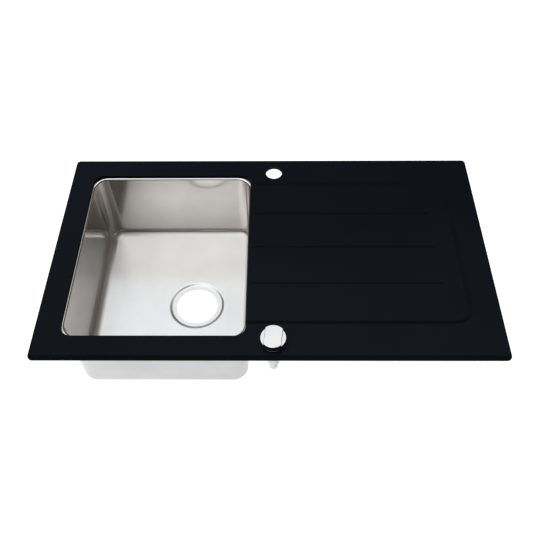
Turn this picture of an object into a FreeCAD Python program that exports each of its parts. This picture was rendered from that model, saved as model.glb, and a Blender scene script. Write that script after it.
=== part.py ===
import FreeCAD, Part
import os
import Sketcher

V = FreeCAD.Vector
UP = V(0, 0, 1)

# Sizes in millimetres, angles in degrees. Z = 0 is the worktop's surface.
DIMENSIONS = {
    "glass_length": 860,
    "glass_depth": 500,
    "glass_thick": 6,
    "glass_corner": 8,
    "arris": 0.8,
    "bevel_width": 8,
    "bevel_drop": 2,
    "cutout_length": 340,
    "cutout_left_margin": 47.5,
    "cutout_front_margin": 49,
    "cutout_rear_margin": 47,
    "cutout_corner": 22,
    "services_gap": 50.5,
    "tap_rear_margin": 38,
    "tap_hole_diameter": 35,
    "control_front_margin": 37,
    "control_hole_diameter": 35,
    "hole_arris": 1.5,
    "drainer_end_margin": 51,
    "drainer_front_margin": 73,
    "drainer_rear_margin": 65.5,
    "drainer_runout": 52.5,
    "drainer_corner": 35,
    "drainer_slope": 9,
    "drainer_recess": 1.5,
    "line_width": 3,
    "line_corner": 1.2,
    "line_recess": 0.5,
    "line_start_gap": 9.5,
    "line_end_gap": 48,
    "line_rear_gap": 90.25,
    "line_pitch": 88.75,
    "seal_thick": 3,
    "seal_inset": 1.5,
    "seal_width": 7,
    "seal_corner": 4,
    "worktop_overlap": 10,
    "bond_thick": 1,
    "bond_inset": 3,
    "steel_thick": 1,
    "bowl_reveal": 2.5,
    "bowl_depth": 190,
    "bowl_corner": 29,
    "floor_radius": 18,
    "bend_radius": 4,
    "flange_width": 16,
    "drain_offset_x": 49.5,
    "drain_offset_y": -9.5,
    "drain_hole_diameter": 90,
    "drain_seat_diameter": 120,
    "drain_recess": 3.5,
    "drain_slope": 5,
    "drain_shoulder": 2,
    "sound_pad_length": 100,
    "sound_pad_margin": 24.5,
    "sound_pad_thick": 2.5,
    "sound_pad_corner": 12,
    "sound_pad_gap": 14,
    "rail_width": 16,
    "rail_drop": 11,
    "rail_sheet": 1.2,
    "rail_lip": 3.5,
    "rail_clearance": 1.5,
    "side_rail_margin": 100,
    "side_clip_margin": 40,
    "rear_rail_length": 120,
    "rear_clip_right_margin": 200,
    "bracket_length": 20,
    "bracket_corner": 1.5,
    "bracket_thick": 6,
    "bracket_play": 0.3,
    "screw_diameter": 5,
    "screw_play": 0.05,
    "screw_head_diameter": 9,
    "screw_head_thick": 2.1,
    "screw_slot_width": 1.2,
    "screw_slot_depth": 1.4,
    "screw_stop_diameter": 7.5,
    "screw_stop_thick": 2.5,
    "claw_drop": 46,
    "claw_reach": 32,
    "claw_width": 10,
    "claw_thick": 3,
    "claw_tip_thick": 4,
    "claw_tip_rise": 9,
    "claw_hub_diameter": 11,
    "claw_hub_height": 9,
    "knob_diameter": 47,
    "knob_height": 18,
    "ledge_height": 13.5,
    "grip_width": 32,
    "grip_turn": -6,
    "knob_edge": 1.2,
    "knob_gap": 0.3,
    "knob_bore_depth": 8,
    "control_flange_diameter": 46,
    "control_flange_thick": 2.8,
    "control_gasket_diameter": 45,
    "control_gasket_thick": 0.8,
    "shank_diameter": 32,
    "shank_drop": 29,
    "fit_clearance": 0.02,
    "running_clearance": 0.04,
    "bearing_drop": 7,
    "washer_diameter": 44,
    "rubber_washer_thick": 2.2,
    "slip_washer_thick": 1.2,
    "washer_play": 0.3,
    "nut_across_flats": 42,
    "nut_thick": 9,
    "socket_diameter": 20,
    "plug_length": 14,
    "housing_diameter": 22.5,
    "housing_length": 36.4,
    "housing_floor": 5.4,
    "cavity_width": 14,
    "cavity_corner": 2,
    "gland_diameter": 15,
    "gland_length": 21.6,
    "gland_edge": 1.5,
    "gland_spigot_diameter": 10,
    "cable_sheath_diameter": 6,
    "cable_sheath_depth": 16,
    "cable_core_diameter": 3.2,
    "spindle_diameter": 8,
    "spindle_collar_diameter": 13,
    "spindle_collar_thick": 3,
    "cam_diameter": 10,
    "cam_length": 34.4,
    "cam_lead": 40,
    "cam_turn": 90,
    "cam_overrun": 20,
    "cam_groove_depth": 1.6,
    "cam_groove_width": 5.6,
    "oring_section": 1.4,
    "oring_drop": 5.2,
    "circlip_thick": 0.8,
    "circlip_diameter": 13.6,
    "circlip_seat_depth": 0.6,
    "circlip_recess_diameter": 16,
    "circlip_recess_depth": 1.6,
    "circlip_opening": 4,
    "grub_diameter": 4,
    "grub_length": 10,
    "grub_socket_diameter": 2,
    "grub_socket_depth": 3,
    "slider_play": 0.2,
    "slider_length": 23.5,
    "slider_floor": 2.5,
    "slider_lift_gap": 1.5,
    "slider_bore_play": 0.2,
    "pin_diameter": 2,
    "pin_below_top": 4,
    "pin_tip_gap": 0.35,
}

doc = FreeCAD.newDocument("inset_sink")
sheet = doc.addObject("Spreadsheet::Sheet", "dims")
for row, (alias, number) in enumerate(DIMENSIONS.items(), start=1):
    sheet.set(f"A{row}", alias)
    sheet.set(f"B{row}", str(number))
    sheet.setAlias(f"B{row}", alias)
doc.recompute()


class Size:
    """A length with its value and the sheet expression that gives it."""

    def __init__(self, value, text):
        self.value = value
        self.text = text

    def __add__(self, other):
        other = as_size(other)
        return Size(self.value + other.value, f"({self.text} + {other.text})")

    def __sub__(self, other):
        other = as_size(other)
        return Size(self.value - other.value, f"({self.text} - {other.text})")

    def __mul__(self, other):
        other = as_size(other)
        return Size(self.value * other.value, f"({self.text} * {other.text})")

    def __truediv__(self, other):
        other = as_size(other)
        return Size(self.value / other.value, f"({self.text} / {other.text})")

    def __neg__(self):
        return Size(-self.value, f"(0 - {self.text})")


def as_size(value):
    """A Size as it is, or a plain number as a Size."""
    if isinstance(value, Size):
        return value
    return Size(value, repr(float(value)))


def dim(alias):
    """The Size that one cell of the sheet holds."""
    return Size(float(sheet.get(alias)), f"dims.{alias}")


def bind(item, prop, size):
    """Tie a property to the expression of a Size."""
    item.setExpression(prop, as_size(size).text)


def new_body(label, x=0, y=0, turn=0):
    """An empty body whose own origin stands at x, y, turned about Z."""
    body = doc.addObject("PartDesign::Body", label)
    body.Label = label
    body.Placement = FreeCAD.Placement(V(), FreeCAD.Rotation(UP, as_size(turn).value))
    bind(body, "Placement.Rotation.Angle", turn)
    bind(body, "Placement.Base.x", x)
    bind(body, "Placement.Base.y", y)
    return body


def new_sketch(body, name, role, shift=(0, 0, 0)):
    """A sketch on one of the body's origin planes, moved within that plane's own axes."""
    sketch = body.newObject("Sketcher::SketchObject", name)
    plane = next(f for f in body.Origin.OriginFeatures if f.Role == role)
    sketch.AttachmentSupport = (plane, [""])
    sketch.MapMode = "FlatFace"
    for axis, size in zip("xyz", shift):
        bind(sketch, f"AttachmentOffset.Base.{axis}", size)
    return sketch


def flat_sketch(body, name, height):
    """A horizontal sketch at a height."""
    return new_sketch(body, name, "XY_Plane", (0, 0, height))


def constrain(sketch, size, *terms):
    """Add a dimension to a sketch and tie it to a Size."""
    kind, *rest = terms
    index = sketch.addConstraint(Sketcher.Constraint(kind, *rest, as_size(size).value))
    bind(sketch, f"Constraints[{index}]", size)


def add_polygon(sketch, points):
    """A closed outline of straight lines through the points."""
    points = [(as_size(x), as_size(y)) for x, y in points]
    first = sketch.GeometryCount
    count = len(points)
    for here, there in zip(points, points[1:] + points[:1]):
        start = V(here[0].value, here[1].value, 0)
        end = V(there[0].value, there[1].value, 0)
        sketch.addGeometry(Part.LineSegment(start, end))
    for index in range(count):
        after = first + (index + 1) % count
        sketch.addConstraint(Sketcher.Constraint("Coincident", first + index, 2, after, 1))
    for index, (x, y) in enumerate(points):
        constrain(sketch, x, "DistanceX", -1, 1, first + index, 1)
        constrain(sketch, y, "DistanceY", -1, 1, first + index, 1)


def add_circle(sketch, diameter, x=0, y=0):
    """A circle about the point x, y."""
    centre = V(as_size(x).value, as_size(y).value, 0)
    index = sketch.addGeometry(Part.Circle(centre, UP, as_size(diameter).value / 2))
    constrain(sketch, x, "DistanceX", -1, 1, index, 3)
    constrain(sketch, y, "DistanceY", -1, 1, index, 3)
    constrain(sketch, diameter / 2, "Radius", index)


def add_rounded_rect(sketch, x, y, length, depth, radius):
    """A rectangle about x, y with four rounded corners."""
    x, y, radius = as_size(x), as_size(y), as_size(radius)
    reach, rise = length / 2 - radius, depth / 2 - radius
    centres = ((x + reach, y - rise), (x + reach, y + rise), (x - reach, y + rise), (x - reach, y - rise))
    first = sketch.GeometryCount
    quarter = FreeCAD.Units.Quantity("90 deg").getValueAs("rad").Value
    arcs = []
    for index, (cx, cy) in enumerate(centres):
        circle = Part.Circle(V(cx.value, cy.value, 0), UP, radius.value)
        arcs.append(Part.ArcOfCircle(circle, (index - 1) * quarter, index * quarter))
    for index, arc in enumerate(arcs):
        sketch.addGeometry(arc)
        sketch.addGeometry(Part.LineSegment(arc.EndPoint, arcs[(index + 1) % 4].StartPoint))
    for index, (cx, cy) in enumerate(centres):
        arc, line = first + 2 * index, first + 2 * index + 1
        following = first + (2 * index + 2) % 8
        sketch.addConstraint(Sketcher.Constraint("Tangent", arc, 2, line, 1))
        sketch.addConstraint(Sketcher.Constraint("Tangent", line, 2, following, 1))
        constrain(sketch, cx, "DistanceX", -1, 1, arc, 3)
        constrain(sketch, cy, "DistanceY", -1, 1, arc, 3)
        constrain(sketch, radius, "Radius", arc)


def pad(body, sketch, length, down=False, symmetric=False):
    """Grow a sketch into a solid."""
    feature = body.newObject("PartDesign::Pad", f"{sketch.Name}_pad")
    feature.Profile = sketch
    feature.Reversed = down
    if symmetric:
        feature.SideType = "Symmetric"
    bind(feature, "Length", length)
    sketch.Visibility = False
    doc.recompute()
    return feature


def pocket(body, sketch, length, up=False, symmetric=False):
    """Cut a sketch out of the solid, downwards unless it says up."""
    before = body.Shape.Volume
    feature = body.newObject("PartDesign::Pocket", f"{sketch.Name}_pocket")
    feature.Profile = sketch
    feature.Reversed = up
    if symmetric:
        feature.SideType = "Symmetric"
    bind(feature, "Length", length)
    doc.recompute()
    if body.Shape.Volume >= before:
        raise RuntimeError(f"{feature.Name} cuts nothing")
    return feature


def turn(body, sketch, kind="PartDesign::Revolution"):
    """Turn a sketch a full circle about its own upright axis."""
    feature = body.newObject(kind, f"{sketch.Name}_turned")
    feature.Profile = sketch
    feature.ReferenceAxis = (sketch, ["V_Axis"])
    feature.Angle = 360
    doc.recompute()
    return feature


def turned_body(label, points, x=0, y=0, turn_by=0):
    """A body turned from a profile of radius and height points."""
    body = new_body(label, x, y, turn_by)
    sketch = new_sketch(body, f"{label}_profile", "XZ_Plane")
    add_polygon(sketch, points)
    turn(body, sketch)
    return body


def level_edges(body, height, test=None):
    """Names of the edges that lie at one height and pass the test."""
    names = []
    for index, edge in enumerate(body.Shape.Edges, start=1):
        box = edge.BoundBox
        level = abs(box.ZMin - height.value) < 0.001 and abs(box.ZMax - height.value) < 0.001
        if level and (test is None or test(edge)):
            names.append(f"Edge{index}")
    return names


def is_circle(diameter):
    """A test for full circles of one diameter."""
    def matches(edge):
        curve = edge.Curve
        return isinstance(curve, Part.Circle) and abs(curve.Radius - diameter.value / 2) < 0.001
    return matches


def dress(body, kind, names, size):
    """Fillet or chamfer the named edges of a body."""
    base = body.Tip
    feature = body.newObject(f"PartDesign::{kind}", f"{body.Name}_{kind.lower()}")
    feature.Base = (base, names)
    bind(feature, "Radius" if kind == "Fillet" else "Size", size)
    doc.recompute()
    return feature


# Heights shared by several pieces
glass_under = dim("seal_thick")
glass_face = glass_under + dim("glass_thick")
flange_top = glass_under - dim("bond_thick")
flange_under = flange_top - dim("steel_thick")
floor_inside = glass_face - dim("bowl_depth")
floor_under = floor_inside - dim("steel_thick")

# Edges of the glass in plan
glass_right = dim("glass_length") / 2
glass_rear = dim("glass_depth") / 2

# The bowl's cut-out in plan
cut_length = dim("cutout_length")
cut_depth = dim("glass_depth") - dim("cutout_front_margin") - dim("cutout_rear_margin")
cut_x = -glass_right + dim("cutout_left_margin") + cut_length / 2
cut_y = (dim("cutout_front_margin") - dim("cutout_rear_margin")) / 2
cut_corner = dim("cutout_corner")
cut_right = cut_x + cut_length / 2
bowl_length = cut_length - dim("bowl_reveal") * 2
bowl_width = cut_depth - dim("bowl_reveal") * 2
drain_x = cut_x + dim("drain_offset_x")
drain_y = cut_y + dim("drain_offset_y")

# The two round holes stand in one line, right of the cut-out
services_x = cut_right + dim("services_gap")
tap_y = glass_rear - dim("tap_rear_margin")
control_y = dim("control_front_margin") - glass_rear


def make_glass_top():
    """Glass pane with its openings, seamed edges, front bevel and drainer."""
    body = new_body("glass_top")
    outline = flat_sketch(body, "glass_outline", glass_under)
    add_rounded_rect(outline, 0, 0, dim("glass_length"), dim("glass_depth"), dim("glass_corner"))
    pad(body, outline, dim("glass_thick"))

    openings = flat_sketch(body, "glass_openings", glass_face)
    add_rounded_rect(openings, cut_x, cut_y, cut_length, cut_depth, cut_corner)
    add_circle(openings, dim("tap_hole_diameter"), services_x, tap_y)
    add_circle(openings, dim("control_hole_diameter"), services_x, control_y)
    pocket(body, openings, dim("glass_thick"))

    tap_edge = is_circle(dim("tap_hole_diameter"))
    control_edge = is_circle(dim("control_hole_diameter"))

    def is_hole(edge):
        return tap_edge(edge) or control_edge(edge)

    def is_outline(edge):
        return not is_hole(edge)

    dress(body, "Chamfer", level_edges(body, glass_face, is_hole), dim("hole_arris"))
    rims = level_edges(body, glass_face, lambda edge: not isinstance(edge.Curve, Part.Circle))
    dress(body, "Chamfer", rims, dim("arris"))
    dress(body, "Chamfer", level_edges(body, glass_under, is_outline), dim("arris"))

    front = -glass_rear
    drop_line = glass_face - dim("bevel_drop")
    spare = 1
    bevel = new_sketch(body, "front_bevel", "YZ_Plane")
    add_polygon(bevel, (
        (front, drop_line),
        (front + dim("bevel_width"), glass_face),
        (front + dim("bevel_width"), glass_face + spare),
        (front - spare, glass_face + spare),
        (front - spare, drop_line),
    ))
    pocket(body, bevel, dim("glass_length") + 2 * spare, symmetric=True)

    cut_drainer(body)
    return body


def cut_drainer(body):
    """Shallow drainer that runs out into the cut-out, with three lines along its floor."""
    front_margin, rear_margin = dim("drainer_front_margin"), dim("drainer_rear_margin")
    width = dim("glass_depth") - front_margin - rear_margin
    drainer_y = (front_margin - rear_margin) / 2
    drainer_right = glass_right - dim("drainer_end_margin")
    drainer_left = cut_right - dim("drainer_runout")
    length = drainer_right - drainer_left
    middle = (drainer_right + drainer_left) / 2
    slope = dim("drainer_slope")
    floor = glass_face - dim("drainer_recess")
    rim = flat_sketch(body, "drainer_rim", glass_face)
    add_rounded_rect(rim, middle, drainer_y, length, width, dim("drainer_corner"))
    base = flat_sketch(body, "drainer_base", floor)
    add_rounded_rect(
        base, middle, drainer_y, length - slope * 2, width - slope * 2, dim("drainer_corner") - slope,
    )
    before = body.Shape.Volume
    recess = body.newObject("PartDesign::SubtractiveLoft", "drainer_recess")
    recess.Profile = rim
    recess.Sections = [base]
    recess.Ruled = True
    doc.recompute()
    if body.Shape.Volume >= before:
        raise RuntimeError("the drainer cuts nothing")

    line_left = cut_right + dim("line_start_gap")
    line_right = drainer_right - dim("line_end_gap")
    lines = flat_sketch(body, "drainer_lines", floor)
    rear_line = glass_rear - rear_margin - dim("line_rear_gap")
    for step in range(3):
        add_rounded_rect(
            lines, (line_left + line_right) / 2, rear_line - dim("line_pitch") * step,
            line_right - line_left, dim("line_width"), dim("line_corner"),
        )
    pocket(body, lines, dim("line_recess"))


def make_bowl():
    """Pressed steel tub hung from a flange, with a dished seat round the drain hole."""
    steel = dim("steel_thick")
    inner_corner = dim("bowl_corner")
    spread = dim("flange_width") * 2

    body = new_body("bowl")
    flange = flat_sketch(body, "bowl_flange", flange_under)
    add_rounded_rect(
        flange, cut_x, cut_y, cut_length + spread, cut_depth + spread, cut_corner + dim("flange_width"),
    )
    pad(body, flange, steel)
    tub = flat_sketch(body, "bowl_tub", flange_under)
    add_rounded_rect(
        tub, cut_x, cut_y, bowl_length + steel * 2, bowl_width + steel * 2, inner_corner + steel,
    )
    pad(body, tub, flange_under - floor_under, down=True)
    hollow = flat_sketch(body, "bowl_hollow", flange_top)
    add_rounded_rect(hollow, cut_x, cut_y, bowl_length, bowl_width, inner_corner)
    pocket(body, hollow, flange_top - floor_inside)

    def near_wall(edge):
        offset = edge.CenterOfMass - V(cut_x.value, cut_y.value, 0)
        reach = steel * 2
        within_x = abs(offset.x) < (bowl_length / 2 + reach).value
        within_y = abs(offset.y) < (bowl_width / 2 + reach).value
        return within_x and within_y

    bend = dim("bend_radius")
    dress(body, "Fillet", level_edges(body, floor_inside), dim("floor_radius"))
    dress(body, "Fillet", level_edges(body, floor_under), dim("floor_radius") + steel)
    dress(body, "Fillet", level_edges(body, flange_under, near_wall), bend - steel)
    dress(body, "Fillet", level_edges(body, flange_top, near_wall), bend)

    press_drain_seat(body)
    return body


def press_drain_seat(body):
    """Dish the floor round the drain and cut the drain hole."""
    steel = dim("steel_thick")
    rim_radius = dim("drain_seat_diameter") / 2
    seat_radius = rim_radius - dim("drain_slope")
    hole_radius = dim("drain_hole_diameter") / 2
    seat = floor_inside - dim("drain_recess")
    shift = (drain_x, 0, -drain_y)
    spare = 2

    dish = new_sketch(body, "drain_dish", "XZ_Plane", shift)
    add_polygon(dish, (
        (0, floor_inside),
        (rim_radius + steel, floor_inside),
        (rim_radius + steel, floor_under),
        (seat_radius + steel, seat - steel),
        (0, seat - steel),
    ))
    turn(body, dish)

    opening = new_sketch(body, "drain_opening", "XZ_Plane", shift)
    add_polygon(opening, (
        (0, floor_inside + spare),
        (rim_radius, floor_inside + spare),
        (rim_radius, floor_inside),
        (seat_radius, seat),
        (hole_radius, seat),
        (hole_radius, seat - steel - spare),
        (0, seat - steel - spare),
    ))
    turn(body, opening, "PartDesign::Groove")

    shoulder = dim("drain_shoulder")
    dress(body, "Fillet", level_edges(body, floor_inside, is_circle(rim_radius * 2)), shoulder)
    dress(body, "Fillet", level_edges(body, seat, is_circle(seat_radius * 2)), shoulder)
    dress(body, "Fillet", level_edges(body, seat - steel, is_circle((seat_radius + steel) * 2)), shoulder)


def make_ring(label, height, thick, outer, inner):
    """Flat frame between two rounded rectangles."""
    body = new_body(label)
    sketch = flat_sketch(body, f"{label}_frame", height)
    add_rounded_rect(sketch, *outer)
    add_rounded_rect(sketch, *inner)
    pad(body, sketch, thick)
    return body


def make_bowl_bond():
    """Adhesive frame between the bowl's flange and the glass."""
    inset = dim("bond_inset")
    outer_spread = (dim("flange_width") - inset) * 2
    outer_corner = cut_corner + dim("flange_width") - inset
    outer = (cut_x, cut_y, cut_length + outer_spread, cut_depth + outer_spread, outer_corner)
    inner = (cut_x, cut_y, cut_length + inset * 2, cut_depth + inset * 2, cut_corner + inset)
    return make_ring("bowl_bond", flange_top, dim("bond_thick"), outer, inner)


def make_worktop_seal():
    """Foam strip between the rim of the glass and the worktop."""
    inset = dim("seal_inset")
    deep_inset = inset + dim("seal_width")
    length, depth = dim("glass_length"), dim("glass_depth")
    outer = (0, 0, length - inset * 2, depth - inset * 2, dim("glass_corner") - inset)
    inner = (0, 0, length - deep_inset * 2, depth - deep_inset * 2, dim("seal_corner"))
    return make_ring("worktop_seal", as_size(0), dim("seal_thick"), outer, inner)


def make_sound_pad():
    """Damping sheet on the underside of the bowl's floor, beside the drain."""
    seat_edge = drain_x - dim("drain_seat_diameter") / 2 - dim("sound_pad_gap")
    depth = bowl_width - (dim("floor_radius") + dim("sound_pad_margin")) * 2
    body = new_body("sound_pad")
    sketch = flat_sketch(body, "sound_pad_outline", floor_under)
    add_rounded_rect(
        sketch, seat_edge - dim("sound_pad_length") / 2, cut_y,
        dim("sound_pad_length"), depth, dim("sound_pad_corner"),
    )
    pad(body, sketch, dim("sound_pad_thick"), down=True)
    return body


# Clip positions: each rail stands just inside the edge of the worktop's cut-out
rail_top = glass_under - dim("bond_thick")
rail_under = rail_top - dim("rail_drop")
lip_top = rail_under + dim("rail_sheet")
rail_inset = dim("worktop_overlap") + dim("rail_clearance") + dim("rail_width") / 2
side_x = glass_right - rail_inset
rear_y = glass_rear - rail_inset
side_rail = dim("glass_depth") - dim("side_rail_margin") * 2
rear_rail = dim("rear_rail_length")
clip_y = side_rail / 2 - dim("side_clip_margin")
rear_right_x = glass_right - dim("rear_clip_right_margin")

# Rails: name, position, turn about Z and length. Each rail runs along its own X axis.
RAILS = (
    ("clip_rail_left", -side_x, 0, 90, side_rail),
    ("clip_rail_right", side_x, 0, -90, side_rail),
    ("clip_rail_rear_left", cut_x, rear_y, 0, rear_rail),
    ("clip_rail_rear_right", rear_right_x, rear_y, 0, rear_rail),
)

# Clips: position and turn about Z. A clip's own Y axis points outwards, under the worktop.
CLIPS = (
    (-side_x, -clip_y, 90),
    (-side_x, clip_y, 90),
    (cut_x, rear_y, 0),
    (rear_right_x, rear_y, 0),
    (side_x, clip_y, -90),
    (side_x, -clip_y, -90),
)


def make_rail(label, x, y, turn_by, length):
    """Lipped steel channel, open downwards."""
    half, sheet_thick = dim("rail_width") / 2, dim("rail_sheet")
    inside, lip = half - sheet_thick, half - dim("rail_lip")
    ceiling = rail_top - sheet_thick
    right_side = (
        (half, rail_top),
        (half, rail_under),
        (lip, rail_under),
        (lip, lip_top),
        (inside, lip_top),
        (inside, ceiling),
    )
    left_side = tuple((-across, height) for across, height in reversed(right_side))
    body = new_body(label, x, y, turn_by)
    sketch = new_sketch(body, f"{label}_section", "YZ_Plane")
    add_polygon(sketch, right_side + left_side)
    pad(body, sketch, length, symmetric=True)
    return body


def make_rail_bonds():
    """Adhesive strips between the rails and the glass."""
    strips = []
    for label, x, y, turn_by, length in RAILS:
        body = new_body(f"{label}_bond", x, y, turn_by)
        sketch = flat_sketch(body, f"{label}_strip", rail_top)
        margin = dim("bond_inset")
        add_rounded_rect(sketch, 0, 0, length - margin * 2, dim("rail_width") - margin, margin)
        pad(body, sketch, dim("bond_thick"))
        strips.append(body)
    return group("rail_bonds", strips)


def make_clip_brackets():
    """Blocks that slide in the rails and carry the clip screws."""
    width = dim("rail_width") - dim("rail_sheet") * 2 - dim("bracket_play") * 2
    blocks = []
    for number, (x, y, turn_by) in enumerate(CLIPS, start=1):
        body = new_body(f"clip_bracket_{number}", x, y, turn_by)
        sketch = flat_sketch(body, f"clip_bracket_{number}_block", lip_top)
        add_rounded_rect(sketch, 0, 0, dim("bracket_length"), width, dim("bracket_corner"))
        add_circle(sketch, dim("screw_diameter") + dim("screw_play") * 2)
        pad(body, sketch, dim("bracket_thick"))
        blocks.append(body)
    return group("clip_brackets", blocks)


def group(label, members):
    """One sub-part made of several separate solids."""
    compound = doc.addObject("Part::Compound", label)
    compound.Label = label
    compound.Links = members
    doc.recompute()
    return compound


# Clip heights
bracket_top = lip_top + dim("bracket_thick")
claw_top = -dim("claw_drop")
claw_arm_top = claw_top - dim("claw_tip_rise")
claw_under = claw_arm_top - dim("claw_thick")
stop_top = claw_under - dim("screw_play")
stop_under = stop_top - dim("screw_stop_thick")


def make_clip_screw(number, x, y, turn_by):
    """Screw that hangs from its bracket by its head and carries the claw above an upset end."""
    head_under = bracket_top + dim("screw_play")
    label = f"clip_screw_{number}"
    body = turned_body(label, (
        (0, stop_under),
        (dim("screw_stop_diameter") / 2, stop_under),
        (dim("screw_stop_diameter") / 2, stop_top),
        (dim("screw_diameter") / 2, stop_top),
        (dim("screw_diameter") / 2, head_under),
        (dim("screw_head_diameter") / 2, head_under),
        (dim("screw_head_diameter") / 2, head_under + dim("screw_head_thick")),
        (0, head_under + dim("screw_head_thick")),
    ), x, y, turn_by)
    half_slot = dim("screw_slot_width") / 2
    end = dim("screw_stop_diameter")
    slot = flat_sketch(body, f"{label}_slot", stop_under)
    add_polygon(slot, ((-end, -half_slot), (end, -half_slot), (end, half_slot), (-end, half_slot)))
    pocket(body, slot, dim("screw_slot_depth"), up=True)
    return body


def make_clip_claw(number, x, y, turn_by):
    """Claw with a hub on the screw and a tip that bites the worktop's underside."""
    label = f"clip_claw_{number}"
    half = dim("claw_width") / 2
    reach = dim("claw_reach")
    body = new_body(label, x, y, turn_by)
    arm = flat_sketch(body, f"{label}_arm", claw_under)
    add_polygon(arm, ((0, -half), (reach, -half), (reach, half), (0, half)))
    pad(body, arm, dim("claw_thick"))
    hub = flat_sketch(body, f"{label}_hub", claw_under)
    add_circle(hub, dim("claw_hub_diameter"))
    pad(body, hub, dim("claw_hub_height"))
    tip = flat_sketch(body, f"{label}_tip", claw_arm_top)
    root = reach - dim("claw_tip_thick")
    add_polygon(tip, ((root, -half), (reach, -half), (reach, half), (root, half)))
    pad(body, tip, dim("claw_tip_rise"))
    bore = flat_sketch(body, f"{label}_bore", claw_under)
    add_circle(bore, dim("screw_diameter") + dim("screw_play") * 2)
    pocket(body, bore, dim("claw_hub_height"), up=True)
    return body


# Waste control: every piece stands on one upright axis through the front hole
control_at = (services_x, control_y)
gasket_top = glass_face + dim("control_gasket_thick")
control_flange_top = gasket_top + dim("control_flange_thick")
circlip_floor = control_flange_top - dim("circlip_recess_depth")
bearing_under = glass_under - dim("bearing_drop")
shank_end = glass_under - dim("shank_drop")
housing_end = shank_end - dim("housing_length")
cavity_floor = housing_end + dim("housing_floor")
knob_under = control_flange_top + dim("knob_gap")
spindle_top = knob_under + dim("knob_bore_depth")
collar_top = bearing_under - dim("running_clearance")
collar_under = collar_top - dim("spindle_collar_thick")
cam_end = collar_under - dim("cam_length")
slider_under = cavity_floor + dim("slider_lift_gap")
slider_top = slider_under + dim("slider_length")
pin_height = slider_top - dim("pin_below_top")


def make_washer(label, under, thick, outer, inner):
    """Flat ring on the control's axis."""
    body = new_body(label, *control_at)
    sketch = flat_sketch(body, f"{label}_ring", under)
    add_circle(sketch, outer)
    add_circle(sketch, inner)
    pad(body, sketch, thick)
    return body


def make_control_stack():
    """Shank through the glass with its gasket, washers and back nut."""
    shank = dim("shank_diameter")
    hole = shank + dim("washer_play") * 2
    rubber_under = glass_under - dim("rubber_washer_thick")
    slip_under = rubber_under - dim("slip_washer_thick")
    bearing = dim("spindle_diameter") / 2 + dim("running_clearance")
    turned_body("control_shank", (
        (bearing, bearing_under),
        (bearing, circlip_floor),
        (dim("circlip_recess_diameter") / 2, circlip_floor),
        (dim("circlip_recess_diameter") / 2, control_flange_top),
        (dim("control_flange_diameter") / 2, control_flange_top),
        (dim("control_flange_diameter") / 2, gasket_top),
        (shank / 2, gasket_top),
        (shank / 2, shank_end),
        (dim("socket_diameter") / 2, shank_end),
        (dim("socket_diameter") / 2, bearing_under),
    ), *control_at)
    gasket_hole = dim("control_hole_diameter") - dim("hole_arris")
    make_washer("control_gasket", glass_face, dim("control_gasket_thick"),
                dim("control_gasket_diameter"), gasket_hole)
    washer = dim("washer_diameter")
    make_washer("control_rubber_washer", rubber_under, dim("rubber_washer_thick"), washer, hole)
    make_washer("control_slip_washer", slip_under, dim("slip_washer_thick"), washer, hole)

    nut_under = slip_under - dim("nut_thick")
    half = dim("nut_across_flats") / 2
    corner = half * (2 / 3 ** 0.5)
    nut = new_body("control_nut", *control_at)
    hexagon = flat_sketch(nut, "control_nut_hexagon", nut_under)
    add_polygon(hexagon, (
        (corner, 0), (corner / 2, half), (-corner / 2, half),
        (-corner, 0), (-corner / 2, -half), (corner / 2, -half),
    ))
    add_circle(hexagon, shank + dim("fit_clearance") * 2)
    pad(nut, hexagon, dim("nut_thick"))


def make_control_housing():
    """Plastic housing below the shank, with a square cavity that keeps the slider from turning."""
    plug = dim("socket_diameter") / 2 - dim("fit_clearance")
    plug_top = shank_end + dim("plug_length")
    body = turned_body("control_housing", (
        (0, housing_end),
        (dim("housing_diameter") / 2, housing_end),
        (dim("housing_diameter") / 2, shank_end),
        (plug, shank_end),
        (plug, plug_top),
        (0, plug_top),
    ), *control_at)
    cavity = flat_sketch(body, "control_cavity", plug_top)
    width = dim("cavity_width")
    add_rounded_rect(cavity, 0, 0, width, width, dim("cavity_corner"))
    pocket(body, cavity, plug_top - cavity_floor)
    outlet = flat_sketch(body, "control_outlet", cavity_floor)
    add_circle(outlet, dim("gland_spigot_diameter"))
    pocket(body, outlet, dim("housing_floor"))
    return body


def make_cable_gland():
    """Round nozzle that takes the sheath of the waste cable."""
    end = housing_end - dim("gland_length")
    sheath_stop = end + dim("cable_sheath_depth")
    spigot = dim("gland_spigot_diameter") / 2 - dim("fit_clearance")
    body = turned_body("cable_gland", (
        (dim("cable_sheath_diameter") / 2, end),
        (dim("gland_diameter") / 2, end),
        (dim("gland_diameter") / 2, housing_end),
        (spigot, housing_end),
        (spigot, cavity_floor),
        (dim("cable_core_diameter") / 2, cavity_floor),
        (dim("cable_core_diameter") / 2, sheath_stop),
        (dim("cable_sheath_diameter") / 2, sheath_stop),
    ), *control_at)
    dress(body, "Fillet", level_edges(body, end, is_circle(dim("gland_diameter"))), dim("gland_edge"))
    return body


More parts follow.
